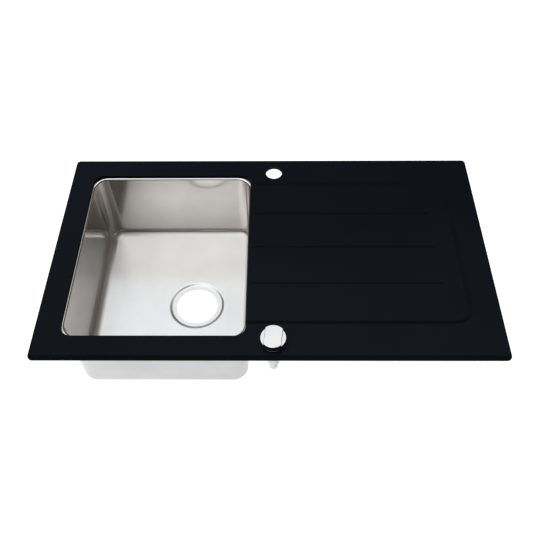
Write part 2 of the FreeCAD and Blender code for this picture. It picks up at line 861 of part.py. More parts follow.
def make_spindle():
    """Spindle with a thrust collar and a cam whose spiral groove lifts the slider."""
    radius = dim("spindle_diameter") / 2
    cam = dim("cam_diameter") / 2
    collar = dim("spindle_collar_diameter") / 2
    section = dim("oring_section")
    oring_seat = radius - section
    oring_middle = control_flange_top - dim("oring_drop")
    groove_half = section / 2 + dim("running_clearance") * 2
    clip_seat = radius - dim("circlip_seat_depth")
    clip_low = circlip_floor + dim("running_clearance")
    clip_high = clip_low + dim("circlip_thick") + dim("running_clearance") * 2
    body = turned_body("control_spindle", (
        (0, cam_end),
        (cam, cam_end),
        (cam, collar_under),
        (collar, collar_under),
        (collar, collar_top),
        (radius, collar_top),
        (radius, oring_middle - groove_half),
        (oring_seat, oring_middle - groove_half),
        (oring_seat, oring_middle + groove_half),
        (radius, oring_middle + groove_half),
        (radius, clip_low),
        (clip_seat, clip_low),
        (clip_seat, clip_high),
        (radius, clip_high),
        (radius, spindle_top),
        (0, spindle_top),
    ), *control_at, -dim("cam_overrun"))

    lead = dim("cam_lead")
    overrun_rise = lead * dim("cam_overrun") / 360
    start = pin_height - overrun_rise
    half_width = dim("cam_groove_width") / 2
    groove_floor = cam - dim("cam_groove_depth")
    spare = 0.5
    section_sketch = new_sketch(body, "cam_groove_section", "XZ_Plane")
    add_polygon(section_sketch, (
        (groove_floor, start - half_width),
        (cam + spare, start - half_width),
        (cam + spare, start + half_width),
        (groove_floor, start + half_width),
    ))
    before = body.Shape.Volume
    groove = body.newObject("PartDesign::SubtractiveHelix", "cam_groove")
    groove.Profile = section_sketch
    groove.ReferenceAxis = (section_sketch, ["V_Axis"])
    groove.Mode = "pitch-height-angle"
    bind(groove, "Pitch", lead)
    bind(groove, "Height", lead * (dim("cam_turn") + dim("cam_overrun") * 2) / 360)
    doc.recompute()
    if body.Shape.Volume >= before:
        raise RuntimeError("the cam groove cuts nothing")

    ring_radius = radius - section / 2
    ring = doc.addObject("Part::Torus", "spindle_oring")
    ring.Label = "spindle_oring"
    bind(ring, "Radius1", ring_radius)
    bind(ring, "Radius2", section / 2)
    bind(ring, "Placement.Base.x", services_x)
    bind(ring, "Placement.Base.y", control_y)
    bind(ring, "Placement.Base.z", oring_middle)

    clip = new_body("spindle_circlip", *control_at)
    flat = flat_sketch(clip, "circlip_ring", clip_low + dim("running_clearance"))
    add_circle(flat, dim("circlip_diameter"))
    add_circle(flat, clip_seat * 2 + dim("fit_clearance") * 2)
    pad(clip, flat, dim("circlip_thick"))
    mouth = flat_sketch(clip, "circlip_mouth", control_flange_top)
    half_mouth = dim("circlip_opening") / 2
    outside = dim("circlip_diameter")
    add_polygon(mouth, ((0, -half_mouth), (outside, -half_mouth), (outside, half_mouth), (0, half_mouth)))
    pocket(clip, mouth, dim("circlip_recess_depth"))
    return body


def make_knob():
    """Round knob with a wide grip bar left standing across it, and its grub screw."""
    turn_by = dim("grip_turn")
    top = glass_face + dim("knob_height")
    ledge = glass_face + dim("ledge_height")
    disc = dim("knob_diameter")
    half_grip = dim("grip_width") / 2
    body = new_body("control_knob", *control_at, turn_by)
    outline = flat_sketch(body, "knob_disc", knob_under)
    add_circle(outline, disc)
    pad(body, outline, top - knob_under)
    sides = flat_sketch(body, "knob_sides", top)
    for side in (-1, 1):
        near, far = half_grip * side, disc * side
        add_polygon(sides, ((near, -disc), (far, -disc), (far, disc), (near, disc)))
    pocket(body, sides, top - ledge)
    dress(body, "Fillet", level_edges(body, top), dim("knob_edge"))
    rims = level_edges(body, ledge, lambda edge: isinstance(edge.Curve, Part.Circle))
    dress(body, "Fillet", rims, dim("knob_edge"))
    bore = flat_sketch(body, "knob_bore", knob_under)
    add_circle(bore, dim("spindle_diameter") + dim("fit_clearance") * 2)
    pocket(body, bore, dim("knob_bore_depth"), up=True)

    grub_height = (knob_under + ledge) / 2
    start = dim("spindle_diameter") / 2 + dim("fit_clearance")
    hole = new_sketch(body, "knob_grub_hole", "XZ_Plane", (0, 0, -start))
    add_circle(hole, dim("grub_diameter") + dim("fit_clearance") * 2, 0, grub_height)
    pocket(body, hole, disc / 2)

    screw = new_body("knob_grub_screw", *control_at, turn_by)
    rod = new_sketch(screw, "grub_rod", "XZ_Plane", (0, 0, -start))
    add_circle(rod, dim("grub_diameter"), 0, grub_height)
    pad(screw, rod, dim("grub_length"), down=True)
    socket = new_sketch(screw, "grub_socket", "XZ_Plane", (0, 0, -start - dim("grub_length")))
    add_circle(socket, dim("grub_socket_diameter"), 0, grub_height)
    pocket(screw, socket, dim("grub_socket_depth"), up=True)
    return body


def make_slider():
    """Square slider that the cam lifts by a pin to pull the waste cable."""
    width = dim("cavity_width") - dim("slider_play") * 2
    bore = dim("cam_diameter") + dim("slider_bore_play") * 2
    body = new_body("cable_slider", *control_at)
    outline = flat_sketch(body, "slider_outline", slider_under)
    add_rounded_rect(outline, 0, 0, width, width, dim("cavity_corner"))
    pad(body, outline, dim("slider_length"))
    well = flat_sketch(body, "slider_well", slider_top)
    add_circle(well, bore)
    pocket(body, well, dim("slider_length") - dim("slider_floor"))
    core = flat_sketch(body, "slider_core", slider_top)
    add_circle(core, dim("cable_core_diameter"))
    pocket(body, core, dim("slider_length"))
    cross = new_sketch(body, "slider_pin_hole", "YZ_Plane")
    add_circle(cross, dim("pin_diameter") + dim("fit_clearance") * 2, 0, pin_height)
    pocket(body, cross, width, up=True)

    pin = new_body("slider_pin", *control_at)
    tip = dim("cam_diameter") / 2 - dim("cam_groove_depth") + dim("pin_tip_gap")
    rod = new_sketch(pin, "pin_rod", "YZ_Plane", (0, 0, tip))
    add_circle(rod, dim("pin_diameter"), 0, pin_height)
    pad(pin, rod, width / 2 - tip)
    return body


make_glass_top()
make_bowl()
make_bowl_bond()
make_worktop_seal()
make_sound_pad()
for rail in RAILS:
    make_rail(*rail)
make_rail_bonds()
make_clip_brackets()
for clip_number, clip_place in enumerate(CLIPS, start=1):
    make_clip_screw(clip_number, *clip_place)
    make_clip_claw(clip_number, *clip_place)
make_control_stack()
make_control_housing()
make_cable_gland()
make_spindle()
make_knob()
make_slider()
doc.recompute()

# Only whole sub-parts are written: not the members of a group
members = [link for item in doc.findObjects("Part::Compound") for link in item.Links]
nodes = [
    item for item in doc.Objects
    if item.isDerivedFrom("PartDesign::Body") or item.TypeId in ("Part::Compound", "Part::Torus")
]
nodes = [item for item in nodes if item not in members]

failed = [item.Label for item in doc.Objects if "Invalid" in item.State or "Error" in item.State]
failed += [item.Label for item in nodes if item.Shape.isNull() or not item.Shape.isValid()]
if failed:
    raise RuntimeError(f"not built: {failed}")

os.makedirs("parts", exist_ok=True)
for item in nodes:
    item.Shape.exportStep(f"parts/{item.Label}.step")
    print(item.Label, len(item.Shape.Solids), round(item.Shape.Volume, 1))
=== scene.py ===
"""Looks of an inset kitchen sink: black glass top, satin steel bowl, turn knob and fixing clips."""

from __future__ import annotations

import logging
import math
from collections.abc import Callable, Iterator, Sequence
from contextlib import contextmanager
from dataclasses import dataclass
from enum import Enum

import bmesh
import bpy
from mathutils import Matrix, Vector


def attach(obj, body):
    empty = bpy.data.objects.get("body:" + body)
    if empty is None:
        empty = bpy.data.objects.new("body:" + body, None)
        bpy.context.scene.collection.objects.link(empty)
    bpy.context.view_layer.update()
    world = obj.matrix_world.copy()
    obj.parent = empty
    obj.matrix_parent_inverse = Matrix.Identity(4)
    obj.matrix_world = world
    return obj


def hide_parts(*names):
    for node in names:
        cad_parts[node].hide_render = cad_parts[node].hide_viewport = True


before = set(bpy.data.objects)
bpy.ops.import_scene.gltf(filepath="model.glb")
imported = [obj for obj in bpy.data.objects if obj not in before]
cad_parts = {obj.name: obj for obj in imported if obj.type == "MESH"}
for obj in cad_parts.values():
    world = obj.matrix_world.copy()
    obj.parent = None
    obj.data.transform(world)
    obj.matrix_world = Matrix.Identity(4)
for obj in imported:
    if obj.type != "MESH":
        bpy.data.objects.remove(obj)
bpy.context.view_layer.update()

log = logging.getLogger("sink")

MM = 0.001

Pair = tuple[float, float]
Point = tuple[float, float, float]
Colour = tuple[float, float, float]
Test = Callable[[Vector], bool]
FaceTest = Callable[[Vector, Vector], bool]
Socket = bpy.types.NodeSocket
Material = bpy.types.Material

# Places that several pieces share, in millimetres.
BOWL_CENTRE = (-212.5, 1.0)
TAP_HOLE = (8.0, 212.0)
CONTROL_HOLE = (8.0, -213.0)
SIDE_RAIL_X = 410.5
SIDE_CLIP_Y = 110.0
REAR_RAIL_Y = 230.5
REAR_LEFT_X = -212.5
REAR_RIGHT_X = 230.0

# How near counts as on a plane, on a circle made of flat sides and on a cut, and how near vertices merge.
NEAR = 0.01
NEAR_CIRCLE = 0.2
NEAR_CUT = 0.001
WELD = 0.005
# How far a cutter reaches past the face that it cuts.
SPARE = 3.0

# Turns of a thread wound below its lower end and beyond its length, and where in its pitch the crest lies.
THREAD_LEAD = 2.3
THREAD_SPARE = 4
CREST = (0.4, 0.6)

# Range that most of a cloudy noise lies in.
CLOUDS = (0.3, 0.7)


class Kind(Enum):
    """Which elements of a mesh are picked."""

    VERTS = "VERT"
    EDGES = "EDGE"
    FACES = "FACE"


class Solver(Enum):
    """How meshes are cut: exactly, or so that large flat faces stay whole."""

    EXACT = "EXACT"
    FAST = "FAST"


def turn_to(spot: Pair, angle: float) -> Matrix:
    """Turn about Z by an angle in degrees, then shift to a spot in millimetres."""
    return Matrix.Translation((*spot, 0)) @ Matrix.Rotation(math.radians(angle), 4, "Z")


def rounding(radius: float, height: float, reach: float) -> tuple[Pair, Pair, Pair]:
    """Round the lower outer corner of a section that is turned.

    Args:
        radius: Radius of the corner.
        height: Height of the corner.
        reach: How far the rounding reaches.

    Returns:
        Radius and height of three points of the rounding, from below.
    """
    inset = reach * (1 - math.sqrt(0.5))
    return (radius - reach, height), (radius - inset, height + inset), (radius, height + reach)


def button(radius: float, span: Pair, chamfer: float, dome: Sequence[Pair]) -> list[Pair]:
    """Draw the section of a round head, from its lower outer corner to the middle of its top.

    Args:
        radius: Radius of the head.
        span: Heights of its lower and upper face.
        chamfer: Chamfer of its lower corner.
        dome: How far each upper corner is set in and set down.

    Returns:
        Radius and height of each corner.
    """
    under, top = span
    upper = [(radius - inset, top - drop) for inset, drop in dome]
    return [(radius - chamfer, under), (radius, under + chamfer), *upper, (0, top)]


class Bench:
    """One mesh on the workbench. Every size is in millimetres, in the part's own frame."""

    def __init__(self, name: str) -> None:
        """Take the mesh that was just added.

        Args:
            name: Name of the piece.
        """
        self.obj = bpy.context.active_object
        self.obj.name = name
        self.obj.data.name = name
        bpy.ops.object.transform_apply(location=True, rotation=True, scale=True)

    @classmethod
    def plate(cls, name: str, size: Pair, centre: Point) -> Bench:
        """Add a flat rectangle.

        Args:
            name: Name of the piece.
            size: Length along X and depth along Y.
            centre: Middle of the rectangle.

        Returns:
            The bench that holds it.
        """
        bpy.ops.object.select_all(action="DESELECT")
        bpy.ops.mesh.primitive_plane_add(size=1, location=Vector(centre) * MM)
        bpy.context.active_object.scale = (size[0] * MM, size[1] * MM, 1)
        return cls(name)

    @classmethod
    def block(cls, name: str, low: Point, high: Point) -> Bench:
        """Add a box between two corners.

        Args:
            name: Name of the piece.
            low: Lowest corner.
            high: Highest corner.

        Returns:
            The bench that holds it.
        """
        bpy.ops.object.select_all(action="DESELECT")
        low_corner, high_corner = Vector(low), Vector(high)
        bpy.ops.mesh.primitive_cube_add(size=1, location=(low_corner + high_corner) / 2 * MM)
        bpy.context.active_object.scale = (high_corner - low_corner) * MM
        return cls(name)

    @classmethod
    def drum(cls, name: str, radius: float, low: Point, top: float, sides: int) -> Bench:
        """Add an upright cylinder.

        Args:
            name: Name of the piece.
            radius: Radius of the cylinder.
            low: Middle of its lower face.
            top: Height of its upper face.
            sides: Number of its sides.

        Returns:
            The bench that holds it.
        """
        bpy.ops.object.select_all(action="DESELECT")
        height = top - low[2]
        centre = Vector(low) + Vector((0, 0, height / 2))
        bpy.ops.mesh.primitive_cylinder_add(
            vertices=sides, radius=radius * MM, depth=height * MM, location=centre * MM
        )
        return cls(name)

    @classmethod
    def slab(
        cls, name: str, size: Pair, low: Point, corner: float, height: float, segments: int = 12
    ) -> Bench:
        """Add an upright prism on a rounded rectangle.

        Args:
            name: Name of the piece.
            size: Length along X and depth along Y.
            low: Middle of the lower face.
            corner: Radius of the corners.
            height: How far it rises.
            segments: Steps in each rounded corner.

        Returns:
            The bench that holds it.
        """
        bench = cls.plate(name, size, low)
        bench.round_corners(corner, segments)
        with bench.editing(Kind.FACES):
            bench.push((0, 0, height))
        bench.outward()
        return bench

    @classmethod
    def chain(cls, name: str, points: Sequence[Point]) -> Bench:
        """Draw a line of vertices from point to point.

        Args:
            name: Name of the piece.
            points: The points in order.

        Returns:
            The bench that holds it.
        """
        bench = cls.plate(name, (1, 1), points[0])
        with bench.editing(Kind.VERTS):
            bpy.ops.mesh.merge(type="CENTER")
            for here, there in zip(points, points[1:]):
                step = (Vector(there) - Vector(here)) * MM
                bpy.ops.mesh.extrude_vertices_move(TRANSFORM_OT_translate={"value": step})
        return bench

    @classmethod
    def turned(cls, name: str, profile: Sequence[Pair], axis: Pair, steps: int) -> Bench:
        """Turn a closed profile about an upright axis.

        Args:
            name: Name of the piece.
            profile: Radius and height of each corner of the section, in order.
            axis: Place of the axis along X and Y.
            steps: Steps in the full turn.

        Returns:
            The bench that holds it.
        """
        hollow = profile[0][0] > 0 or profile[-1][0] > 0
        loop = [*profile, profile[0]] if hollow else profile
        bench = cls.chain(name, [(axis[0] + radius, axis[1], height) for radius, height in loop])
        centre = (axis[0] * MM, axis[1] * MM, 0)
        with bench.editing(Kind.VERTS):
            bpy.ops.mesh.spin(steps=steps, angle=2 * math.pi, center=centre, axis=(0, 0, 1))
            bpy.ops.mesh.select_all(action="SELECT")
            bpy.ops.mesh.remove_doubles(threshold=WELD * MM)
        bench.outward()
        return bench

    @classmethod
    def threaded(cls, name: str, radii: Pair, pitch: float, span: Pair, axis: Pair, steps: int) -> Bench:
        """Wind a screw thread on a rod and trim its ends.

        Args:
            name: Name of the piece.
            radii: Radius at the root and at the crest.
            pitch: Rise of one turn.
            span: Heights of the lower and upper end.
            axis: Place of the axis along X and Y.
            steps: Steps in one turn.

        Returns:
            The bench that holds it.
        """
        (root, crest), (low, high) = radii, span
        start = low - THREAD_LEAD * pitch
        corners = ((root, 0.0), (crest, CREST[0]), (crest, CREST[1]), (root, 1.0))
        rod = cls.chain(name, [(radius, 0, start + share * pitch) for radius, share in corners])
        turns = math.ceil((high - low) / pitch) + THREAD_SPARE
        rod.modify(
            "SCREW", axis="Z", angle=2 * math.pi, screw_offset=pitch * MM, iterations=turns, steps=steps,
            render_steps=steps,
        )
        with rod.editing(Kind.VERTS):
            bpy.ops.mesh.remove_doubles(threshold=WELD * MM)
        rod.slice((0, 0, low), (0, 0, -1), clear=True)
        rod.slice((0, 0, high), (0, 0, 1), clear=True)
        rod.outward()
        rod.place(turn_to(axis, angle=0))
        return rod

    def place(self, move: Matrix) -> None:
        """Turn and shift the mesh.

        Args:
            move: The turn and shift, with the shift in millimetres.
        """
        self.activate()
        shift = Matrix.Translation(move.to_translation() * MM)
        self.obj.matrix_world = shift @ move.to_3x3().to_4x4()
        bpy.ops.object.transform_apply(location=True, rotation=True, scale=True)

    def activate(self) -> None:
        """Select this mesh alone and make it the active one."""
        bpy.ops.object.select_all(action="DESELECT")
        self.obj.select_set(True)
        bpy.context.view_layer.objects.active = self.obj

    def absorb(self, *others: Bench) -> None:
        """Join other meshes to this one as separate shells.

        Args:
            *others: The other meshes.
        """
        self.activate()
        for other in others:
            other.obj.select_set(True)
        bpy.ops.object.join()

    @contextmanager
    def editing(self, kind: Kind, test: Test | None = None) -> Iterator[None]:
        """Open the mesh in edit mode with the elements picked whose middle passes the test.

        Args:
            kind: Which elements are picked.
            test: Says whether a middle, in millimetres, is picked. All are where there is none.

        Yields:
            Nothing: the mesh is in edit mode meanwhile.
        """
        self.activate()
        bpy.ops.object.mode_set(mode="EDIT")
        bpy.ops.mesh.select_mode(type=kind.value)
        bpy.ops.mesh.select_all(action="SELECT")
        if test is not None:
            self.pick(kind, test)
        yield
        bpy.ops.object.mode_set(mode="OBJECT")

    def pick(self, kind: Kind, test: Test) -> None:
        """Select only the elements whose middle passes the test, in edit mode.

        Args:
            kind: Which elements are picked.
            test: Says whether a middle, in millimetres, is picked.
        """
        bpy.ops.mesh.select_all(action="DESELECT")
        mesh = bmesh.from_edit_mesh(self.obj.data)
        for item in {Kind.VERTS: mesh.verts, Kind.EDGES: mesh.edges, Kind.FACES: mesh.faces}[kind]:
            corners = [item] if kind is Kind.VERTS else item.verts
            middle = sum((vert.co for vert in corners), Vector()) / len(corners)
            if test(middle / MM):
                item.select_set(True)
        mesh.select_flush_mode()
        bmesh.update_edit_mesh(self.obj.data)

    def round_corners(self, radius: float, segments: int) -> None:
        """Round every corner of a flat outline to a radius, in a number of steps."""
        with self.editing(Kind.VERTS):
            bpy.ops.mesh.bevel(offset=radius * MM, segments=segments, affect="VERTICES")

    def push(self, step: Point) -> None:
        """Extrude what is picked by a step, in edit mode."""
        bpy.ops.mesh.extrude_region_move(TRANSFORM_OT_translate={"value": Vector(step) * MM})

    def lift(self, rise: float, test: Test) -> None:
        """Raise the vertices that pass the test."""
        with self.editing(Kind.VERTS, test):
            bpy.ops.transform.translate(value=(0, 0, rise * MM))

    def bevel(self, width: float, segments: int, test: Test) -> None:
        """Round the edges whose middles pass the test, in a number of steps."""
        with self.editing(Kind.EDGES, test):
            bpy.ops.mesh.bevel(offset=width * MM, segments=segments, affect="EDGES", clamp_overlap=True)

    def bevel_sharp(self, width: float, segments: int, angle: float) -> None:
        """Round the edges that are sharper than an angle, with the edit-mode tool.

        Args:
            width: How far the rounding reaches.
            segments: Steps across it.
            angle: Least angle of an edge, in degrees.
        """
        with self.editing(Kind.EDGES, lambda middle: False):
            bpy.ops.mesh.edges_select_sharp(sharpness=math.radians(angle))
            bpy.ops.mesh.bevel(offset=width * MM, segments=segments, affect="EDGES")

    def slice(self, point: Point, normal: Point, *, clear: bool) -> None:
        """Cut the mesh with a plane.

        Args:
            point: A point of the plane.
            normal: Direction that the plane faces.
            clear: Whether what lies on the facing side goes, with the cut filled.
        """
        with self.editing(Kind.FACES):
            bpy.ops.mesh.bisect(
                plane_co=Vector(point) * MM, plane_no=Vector(normal).normalized(), use_fill=clear,
                clear_outer=clear, threshold=NEAR_CUT * MM,
            )

    def outward(self) -> None:
        """Make every face point outwards."""
        with self.editing(Kind.FACES):
            bpy.ops.mesh.normals_make_consistent(inside=False)

    def thicken(self, sheet: float) -> None:
        """Give an open sheet its thickness, on the side away from its upper face.

        Args:
            sheet: The thickness.
        """
        self.outward()
        with self.editing(Kind.FACES):
            mesh = bmesh.from_edit_mesh(self.obj.data)
            highest = max(mesh.faces, key=lambda face: face.calc_center_median().z)
            if highest.normal.z < 0:
                bpy.ops.mesh.flip_normals()
        self.modify("SOLIDIFY", thickness=sheet * MM, offset=-1.0, use_even_offset=True)

    def modify(self, kind: str, **settings: object) -> None:
        """Add a modifier and apply it.

        Args:
            kind: Blender's name for the modifier.
            **settings: Its settings.
        """
        self.activate()
        modifier = self.obj.modifiers.new(kind.lower(), kind)
        for key, value in settings.items():
            setattr(modifier, key, value)
        bpy.ops.object.modifier_apply(modifier=modifier.name)

    def carve(self, *cutters: Bench, join: bool = False, solver: Solver = Solver.EXACT) -> None:
        """Cut other meshes out of this one, or join them to it, and clear them away.

        Args:
            *cutters: The meshes to cut with.
            join: Whether they are joined instead.
            solver: How they are cut.
        """
        operation = "UNION" if join else "DIFFERENCE"
        for cutter in cutters:
            self.modify("BOOLEAN", object=cutter.obj, operation=operation, solver=solver.value)
            cutter.drop()

    def drill(self, radius: float, axis: Pair, span: Pair, sides: int) -> None:
        """Bore an upright hole right through the mesh.

        Args:
            radius: Radius of the hole.
            axis: Place of its axis along X and Y.
            span: Heights of the mesh's lower and upper face.
            sides: Number of the hole's sides.
        """
        low, high = span
        self.carve(Bench.drum("bore", radius, (*axis, low - SPARE), high + SPARE, sides))

    def ease(self, width: float, segments: int = 2, angle: float = 35) -> None:
        """Round every edge that is sharper than an angle.

        Args:
            width: How far the rounding reaches.
            segments: Steps across it.
            angle: Least angle of an edge, in degrees.
        """
        self.modify(
            "BEVEL", width=width * MM, segments=segments, limit_method="ANGLE",
            angle_limit=math.radians(angle), harden_normals=False, use_clamp_overlap=True,
        )

    def shade(self, angle: float = 40) -> None:
        """Shade smoothly across edges flatter than an angle, with flat faces kept flat.

        Args:
            angle: Angle past which an edge stays sharp, in degrees.
        """
        self.activate()
        bpy.ops.object.shade_smooth_by_angle(angle=math.radians(angle))
        self.modify("WEIGHTED_NORMAL", keep_sharp=True, weight=100)

    def copy(self, name: str, move: Matrix) -> Bench:
        """Copy the mesh to another place.

        Args:
            name: Name of the copy.
            move: Turn and shift of the copy, with the shift in millimetres.

        Returns:
            The bench that holds the copy.
        """
        self.activate()
        bpy.ops.object.duplicate()
        twin = Bench(name)
        twin.place(move)
        return twin

    def drop(self) -> None:
        """Clear the mesh away."""
        bpy.data.objects.remove(self.obj)


class Graph:
    """Shader nodes of a material or of the world."""

    def __init__(self, owner: Material | bpy.types.World) -> None:
        """Turn on the nodes of their owner.

        Args:
            owner: The material or world.
        """
        owner.use_nodes = True
        self.nodes = owner.node_tree.nodes
        self.links = owner.node_tree.links

    def spread(self, value: Socket, source: Pair, target: Pair, *, soft: bool = False) -> Socket:
        """Carry a value from one range over to another, and hold it at both ends.

        Args:
            value: The value.
            source: Where the range starts and ends.
            target: What the value becomes there.
            soft: Whether it leaves and reaches the ends softly.

        Returns:
            The new value.
        """
        node = self.nodes.new("ShaderNodeMapRange")
        node.interpolation_type = "SMOOTHSTEP" if soft else "LINEAR"
        for key, number in zip(("From Min", "From Max", "To Min", "To Max"), (*source, *target)):
            node.inputs[key].default_value = number
        self.links.new(value, node.inputs["Value"])
        return node.outputs["Result"]

    def product(self, first: Socket, second: Socket) -> Socket:
        """Multiply two values.

        Args:
            first: One value.
            second: The other.

        Returns:
            Their product.
        """
        node = self.nodes.new("ShaderNodeMath")
        node.operation = "MULTIPLY"
        self.links.new(first, node.inputs[0])
        self.links.new(second, node.inputs[1])
        return node.outputs["Value"]

    def compare(self, operation: str, place: Socket, fixed: Point) -> Socket:
        """Compare a place or direction with a fixed one.

        Args:
            operation: Blender's name for the vector operation.
            place: The place or direction.
            fixed: The fixed one.

        Returns:
            The distance or the dot product.
        """
        node = self.nodes.new("ShaderNodeVectorMath")
        node.operation = operation
        node.inputs[1].default_value = fixed
        self.links.new(place, node.inputs[0])
        return node.outputs["Value"]

    def seen_evenly(self, strength: Socket) -> Socket:
        """Keep a strength for the light on the sink, but show it as an even 1.

        Args:
            strength: The strength.

        Returns:
            The strength for each ray.
        """
        mix = self.nodes.new("ShaderNodeMix")
        mix.inputs["B"].default_value = 1.0
        self.links.new(self.nodes.new("ShaderNodeLightPath").outputs["Is Camera Ray"], mix.inputs["Factor"])
        self.links.new(strength, mix.inputs["A"])
        return mix.outputs["Result"]


class Tree(Graph):
    """Shader nodes of one finish, laid out in the piece's own coordinates."""

    def __init__(self, name: str) -> None:
        """Start a material.

        Args:
            name: Name of the material.
        """
        self.material = bpy.data.materials.new(name)
        super().__init__(self.material)
        self.shader = self.nodes["Principled BSDF"]
        self.object_coords = self.nodes.new("ShaderNodeTexCoord").outputs["Object"]

    def settle(self, **values: object) -> None:
        """Set uniform values on the shader's own sockets, named with _ for a space."""
        for key, value in values.items():
            self.shader.inputs[key.replace("_", " ")].default_value = value

    def texture(self, kind: str, scale: float | Point) -> bpy.types.Node:
        """Add a texture with features of one over the scale, in metres.

        Args:
            kind: Blender's name for the texture node.
            scale: Scale along every axis, or along X, Y and Z.

        Returns:
            The texture node.
        """
        mapping = self.nodes.new("ShaderNodeMapping")
        mapping.inputs["Scale"].default_value = scale if isinstance(scale, tuple) else (scale,) * 3
        self.links.new(self.object_coords, mapping.inputs["Vector"])
        node = self.nodes.new(kind)
        node.inputs["Scale"].default_value = 1.0
        self.links.new(mapping.outputs["Vector"], node.inputs["Vector"])
        return node

    def noise(self, scale: float | Point, detail: float, rough: float = 0.55) -> Socket:
        """Add cloudy noise.

        Args:
            scale: Scale along every axis, or along X, Y and Z.
            detail: Number of finer layers.
            rough: How strong the finer layers are.

        Returns:
            A value from 0 to 1.
        """
        node = self.texture("ShaderNodeTexNoise", scale)
        node.inputs["Detail"].default_value = detail
        node.inputs["Roughness"].default_value = rough
        return node.outputs["Fac"]

    def cells(self, scale: float) -> Socket:
        """Distance to the nearest point of a cell pattern, about 0 to 1."""
        return self.texture("ShaderNodeTexVoronoi", scale).outputs["Distance"]

    def tones(self, factor: Socket, dark: Colour, light: Colour, span: Pair = CLOUDS) -> None:
        """Colour the shader between two tones.

        Args:
            factor: Value that chooses between them.
            dark: Tone where the value is low.
            light: Tone where the value is high.
            span: Values at which each tone is whole.
        """
        ramp = self.nodes.new("ShaderNodeValToRGB")
        for stop, place, colour in zip(ramp.color_ramp.elements, span, (dark, light)):
            stop.position = place
            stop.color = (*colour, 1)
        self.links.new(factor, ramp.inputs["Fac"])
        self.links.new(ramp.outputs["Color"], self.shader.inputs["Base Color"])

    def gloss(self, factor: Socket, low: float, high: float) -> None:
        """Vary the roughness from a low to a high value with a factor."""
        self.links.new(self.spread(factor, CLOUDS, (low, high)), self.shader.inputs["Roughness"])

    def run_round(self, axis: str) -> None:
        """Let the brushed sheen follow lines that run round an axis.

        Args:
            axis: The axis, X, Y or Z.
        """
        tangent = self.nodes.new("ShaderNodeTangent")
        tangent.direction_type = "RADIAL"
        tangent.axis = axis
        self.links.new(tangent.outputs["Tangent"], self.shader.inputs["Tangent"])

    def fall(self, axis: str, start: float, end: float) -> Socket:
        """Add a value that falls from 1 to 0 along an axis, steeply at first.

        Args:
            axis: The axis, X, Y or Z.
            start: Where it is 1, in millimetres.
            end: Where it is 0.

        Returns:
            The value.
        """
        place = self.nodes.new("ShaderNodeSeparateXYZ")
        self.links.new(self.object_coords, place.inputs["Vector"])
        share = self.spread(place.outputs[axis], (start * MM, end * MM), (1.0, 0.0))
        return self.product(share, share)

    def relief(self, height: Socket, depth: float, strength: float = 1.0) -> None:
        """Raise relief on the surface, on top of any that it has.

        Args:
            height: Value that gives the height.
            depth: Height in millimetres where the value is 1.
            strength: Share of the relief that is used.
        """
        bump = self.nodes.new("ShaderNodeBump")
        bump.inputs["Strength"].default_value = strength
        bump.inputs["Distance"].default_value = depth * MM
        self.links.new(height, bump.inputs["Height"])
        normal = self.shader.inputs["Normal"]
        if normal.is_linked:
            self.links.new(normal.links[0].from_socket, bump.inputs["Normal"])
        self.links.new(bump.outputs["Normal"], normal)


@dataclass(frozen=True)
class Glass:
    """Polished glass that is fired black on its back."""

    name: str = "black_glass_polished"
    deep: Colour = (0.0036, 0.0042, 0.0076)
    lifted: Colour = (0.0060, 0.0069, 0.0120)
    shine: float = 0.03
    smear: Point = (3.0, 21.0, 3.0)

    def make(self) -> Material:
        """Make the material, with faint wiping smears in its gloss.

        Returns:
            The material.
        """
        tree = Tree(self.name)
        tree.settle(IOR=1.5, Specular_IOR_Level=self.shine)
        tree.tones(tree.noise(2.2, detail=2), self.deep, self.lifted)
        tree.gloss(tree.noise(self.smear, detail=5), low=0.015, high=0.05)
        tree.relief(tree.noise(9, detail=2), depth=0.012, strength=0.5)
        return tree.material


@dataclass(frozen=True)
class Enamel:
    """Fired black coat on the glass's underside."""

    name: str = "black_enamel_back"
    dark: Colour = (0.008, 0.008, 0.009)
    light: Colour = (0.016, 0.016, 0.018)

    def make(self) -> Material:
        """Make the material, with a fine orange-peel grain.

        Returns:
            The material.
        """
        tree = Tree(self.name)
        tree.settle(IOR=1.45)
        tree.tones(tree.noise(14, detail=4), self.dark, self.light)
        tree.gloss(tree.noise(60, detail=3), low=0.28, high=0.42)
        tree.relief(tree.noise(700, detail=2), depth=0.03, strength=0.4)
        return tree.material


class Brushing(Enum):
    """Axis that the fine lines of a brushed metal run round, and the scale of their grain."""

    LEVEL = ("Z", (4.0, 4.0, 1500.0))
    ALONG_Y = ("X", (1500.0, 4.0, 4.0))


@dataclass(frozen=True)
class Fall:
    """Slight fall of a sheet along an axis: where it starts and ends, and its rise, in millimetres."""

    axis: str
    start: float
    end: float
    rise: float


@dataclass(frozen=True)
class Steel:
    """Satin stainless steel, brushed one way."""

    name: str
    brushing: Brushing
    gloss: Pair
    streak: float
    dark: Colour = (0.665, 0.644, 0.602)
    light: Colour = (0.73, 0.708, 0.662)
    depth: float = 0.003
    falls: tuple[Fall, ...] = ()

    def make(self) -> Material:
        """Make the material, with fine brush lines, a sheen across them and a cloudy tone.

        Returns:
            The material.
        """
        axis, scale = self.brushing.value
        tree = Tree(self.name)
        tree.settle(Metallic=1.0, Anisotropic=self.streak)
        tree.run_round(axis)
        tree.tones(tree.noise(13, detail=4), self.dark, self.light)
        grain = tree.noise(scale, detail=4, rough=0.65)
        tree.gloss(grain, *self.gloss)
        for fall in self.falls:
            tree.relief(tree.fall(fall.axis, fall.start, fall.end), fall.rise)
        tree.relief(grain, self.depth, strength=0.3)
        return tree.material


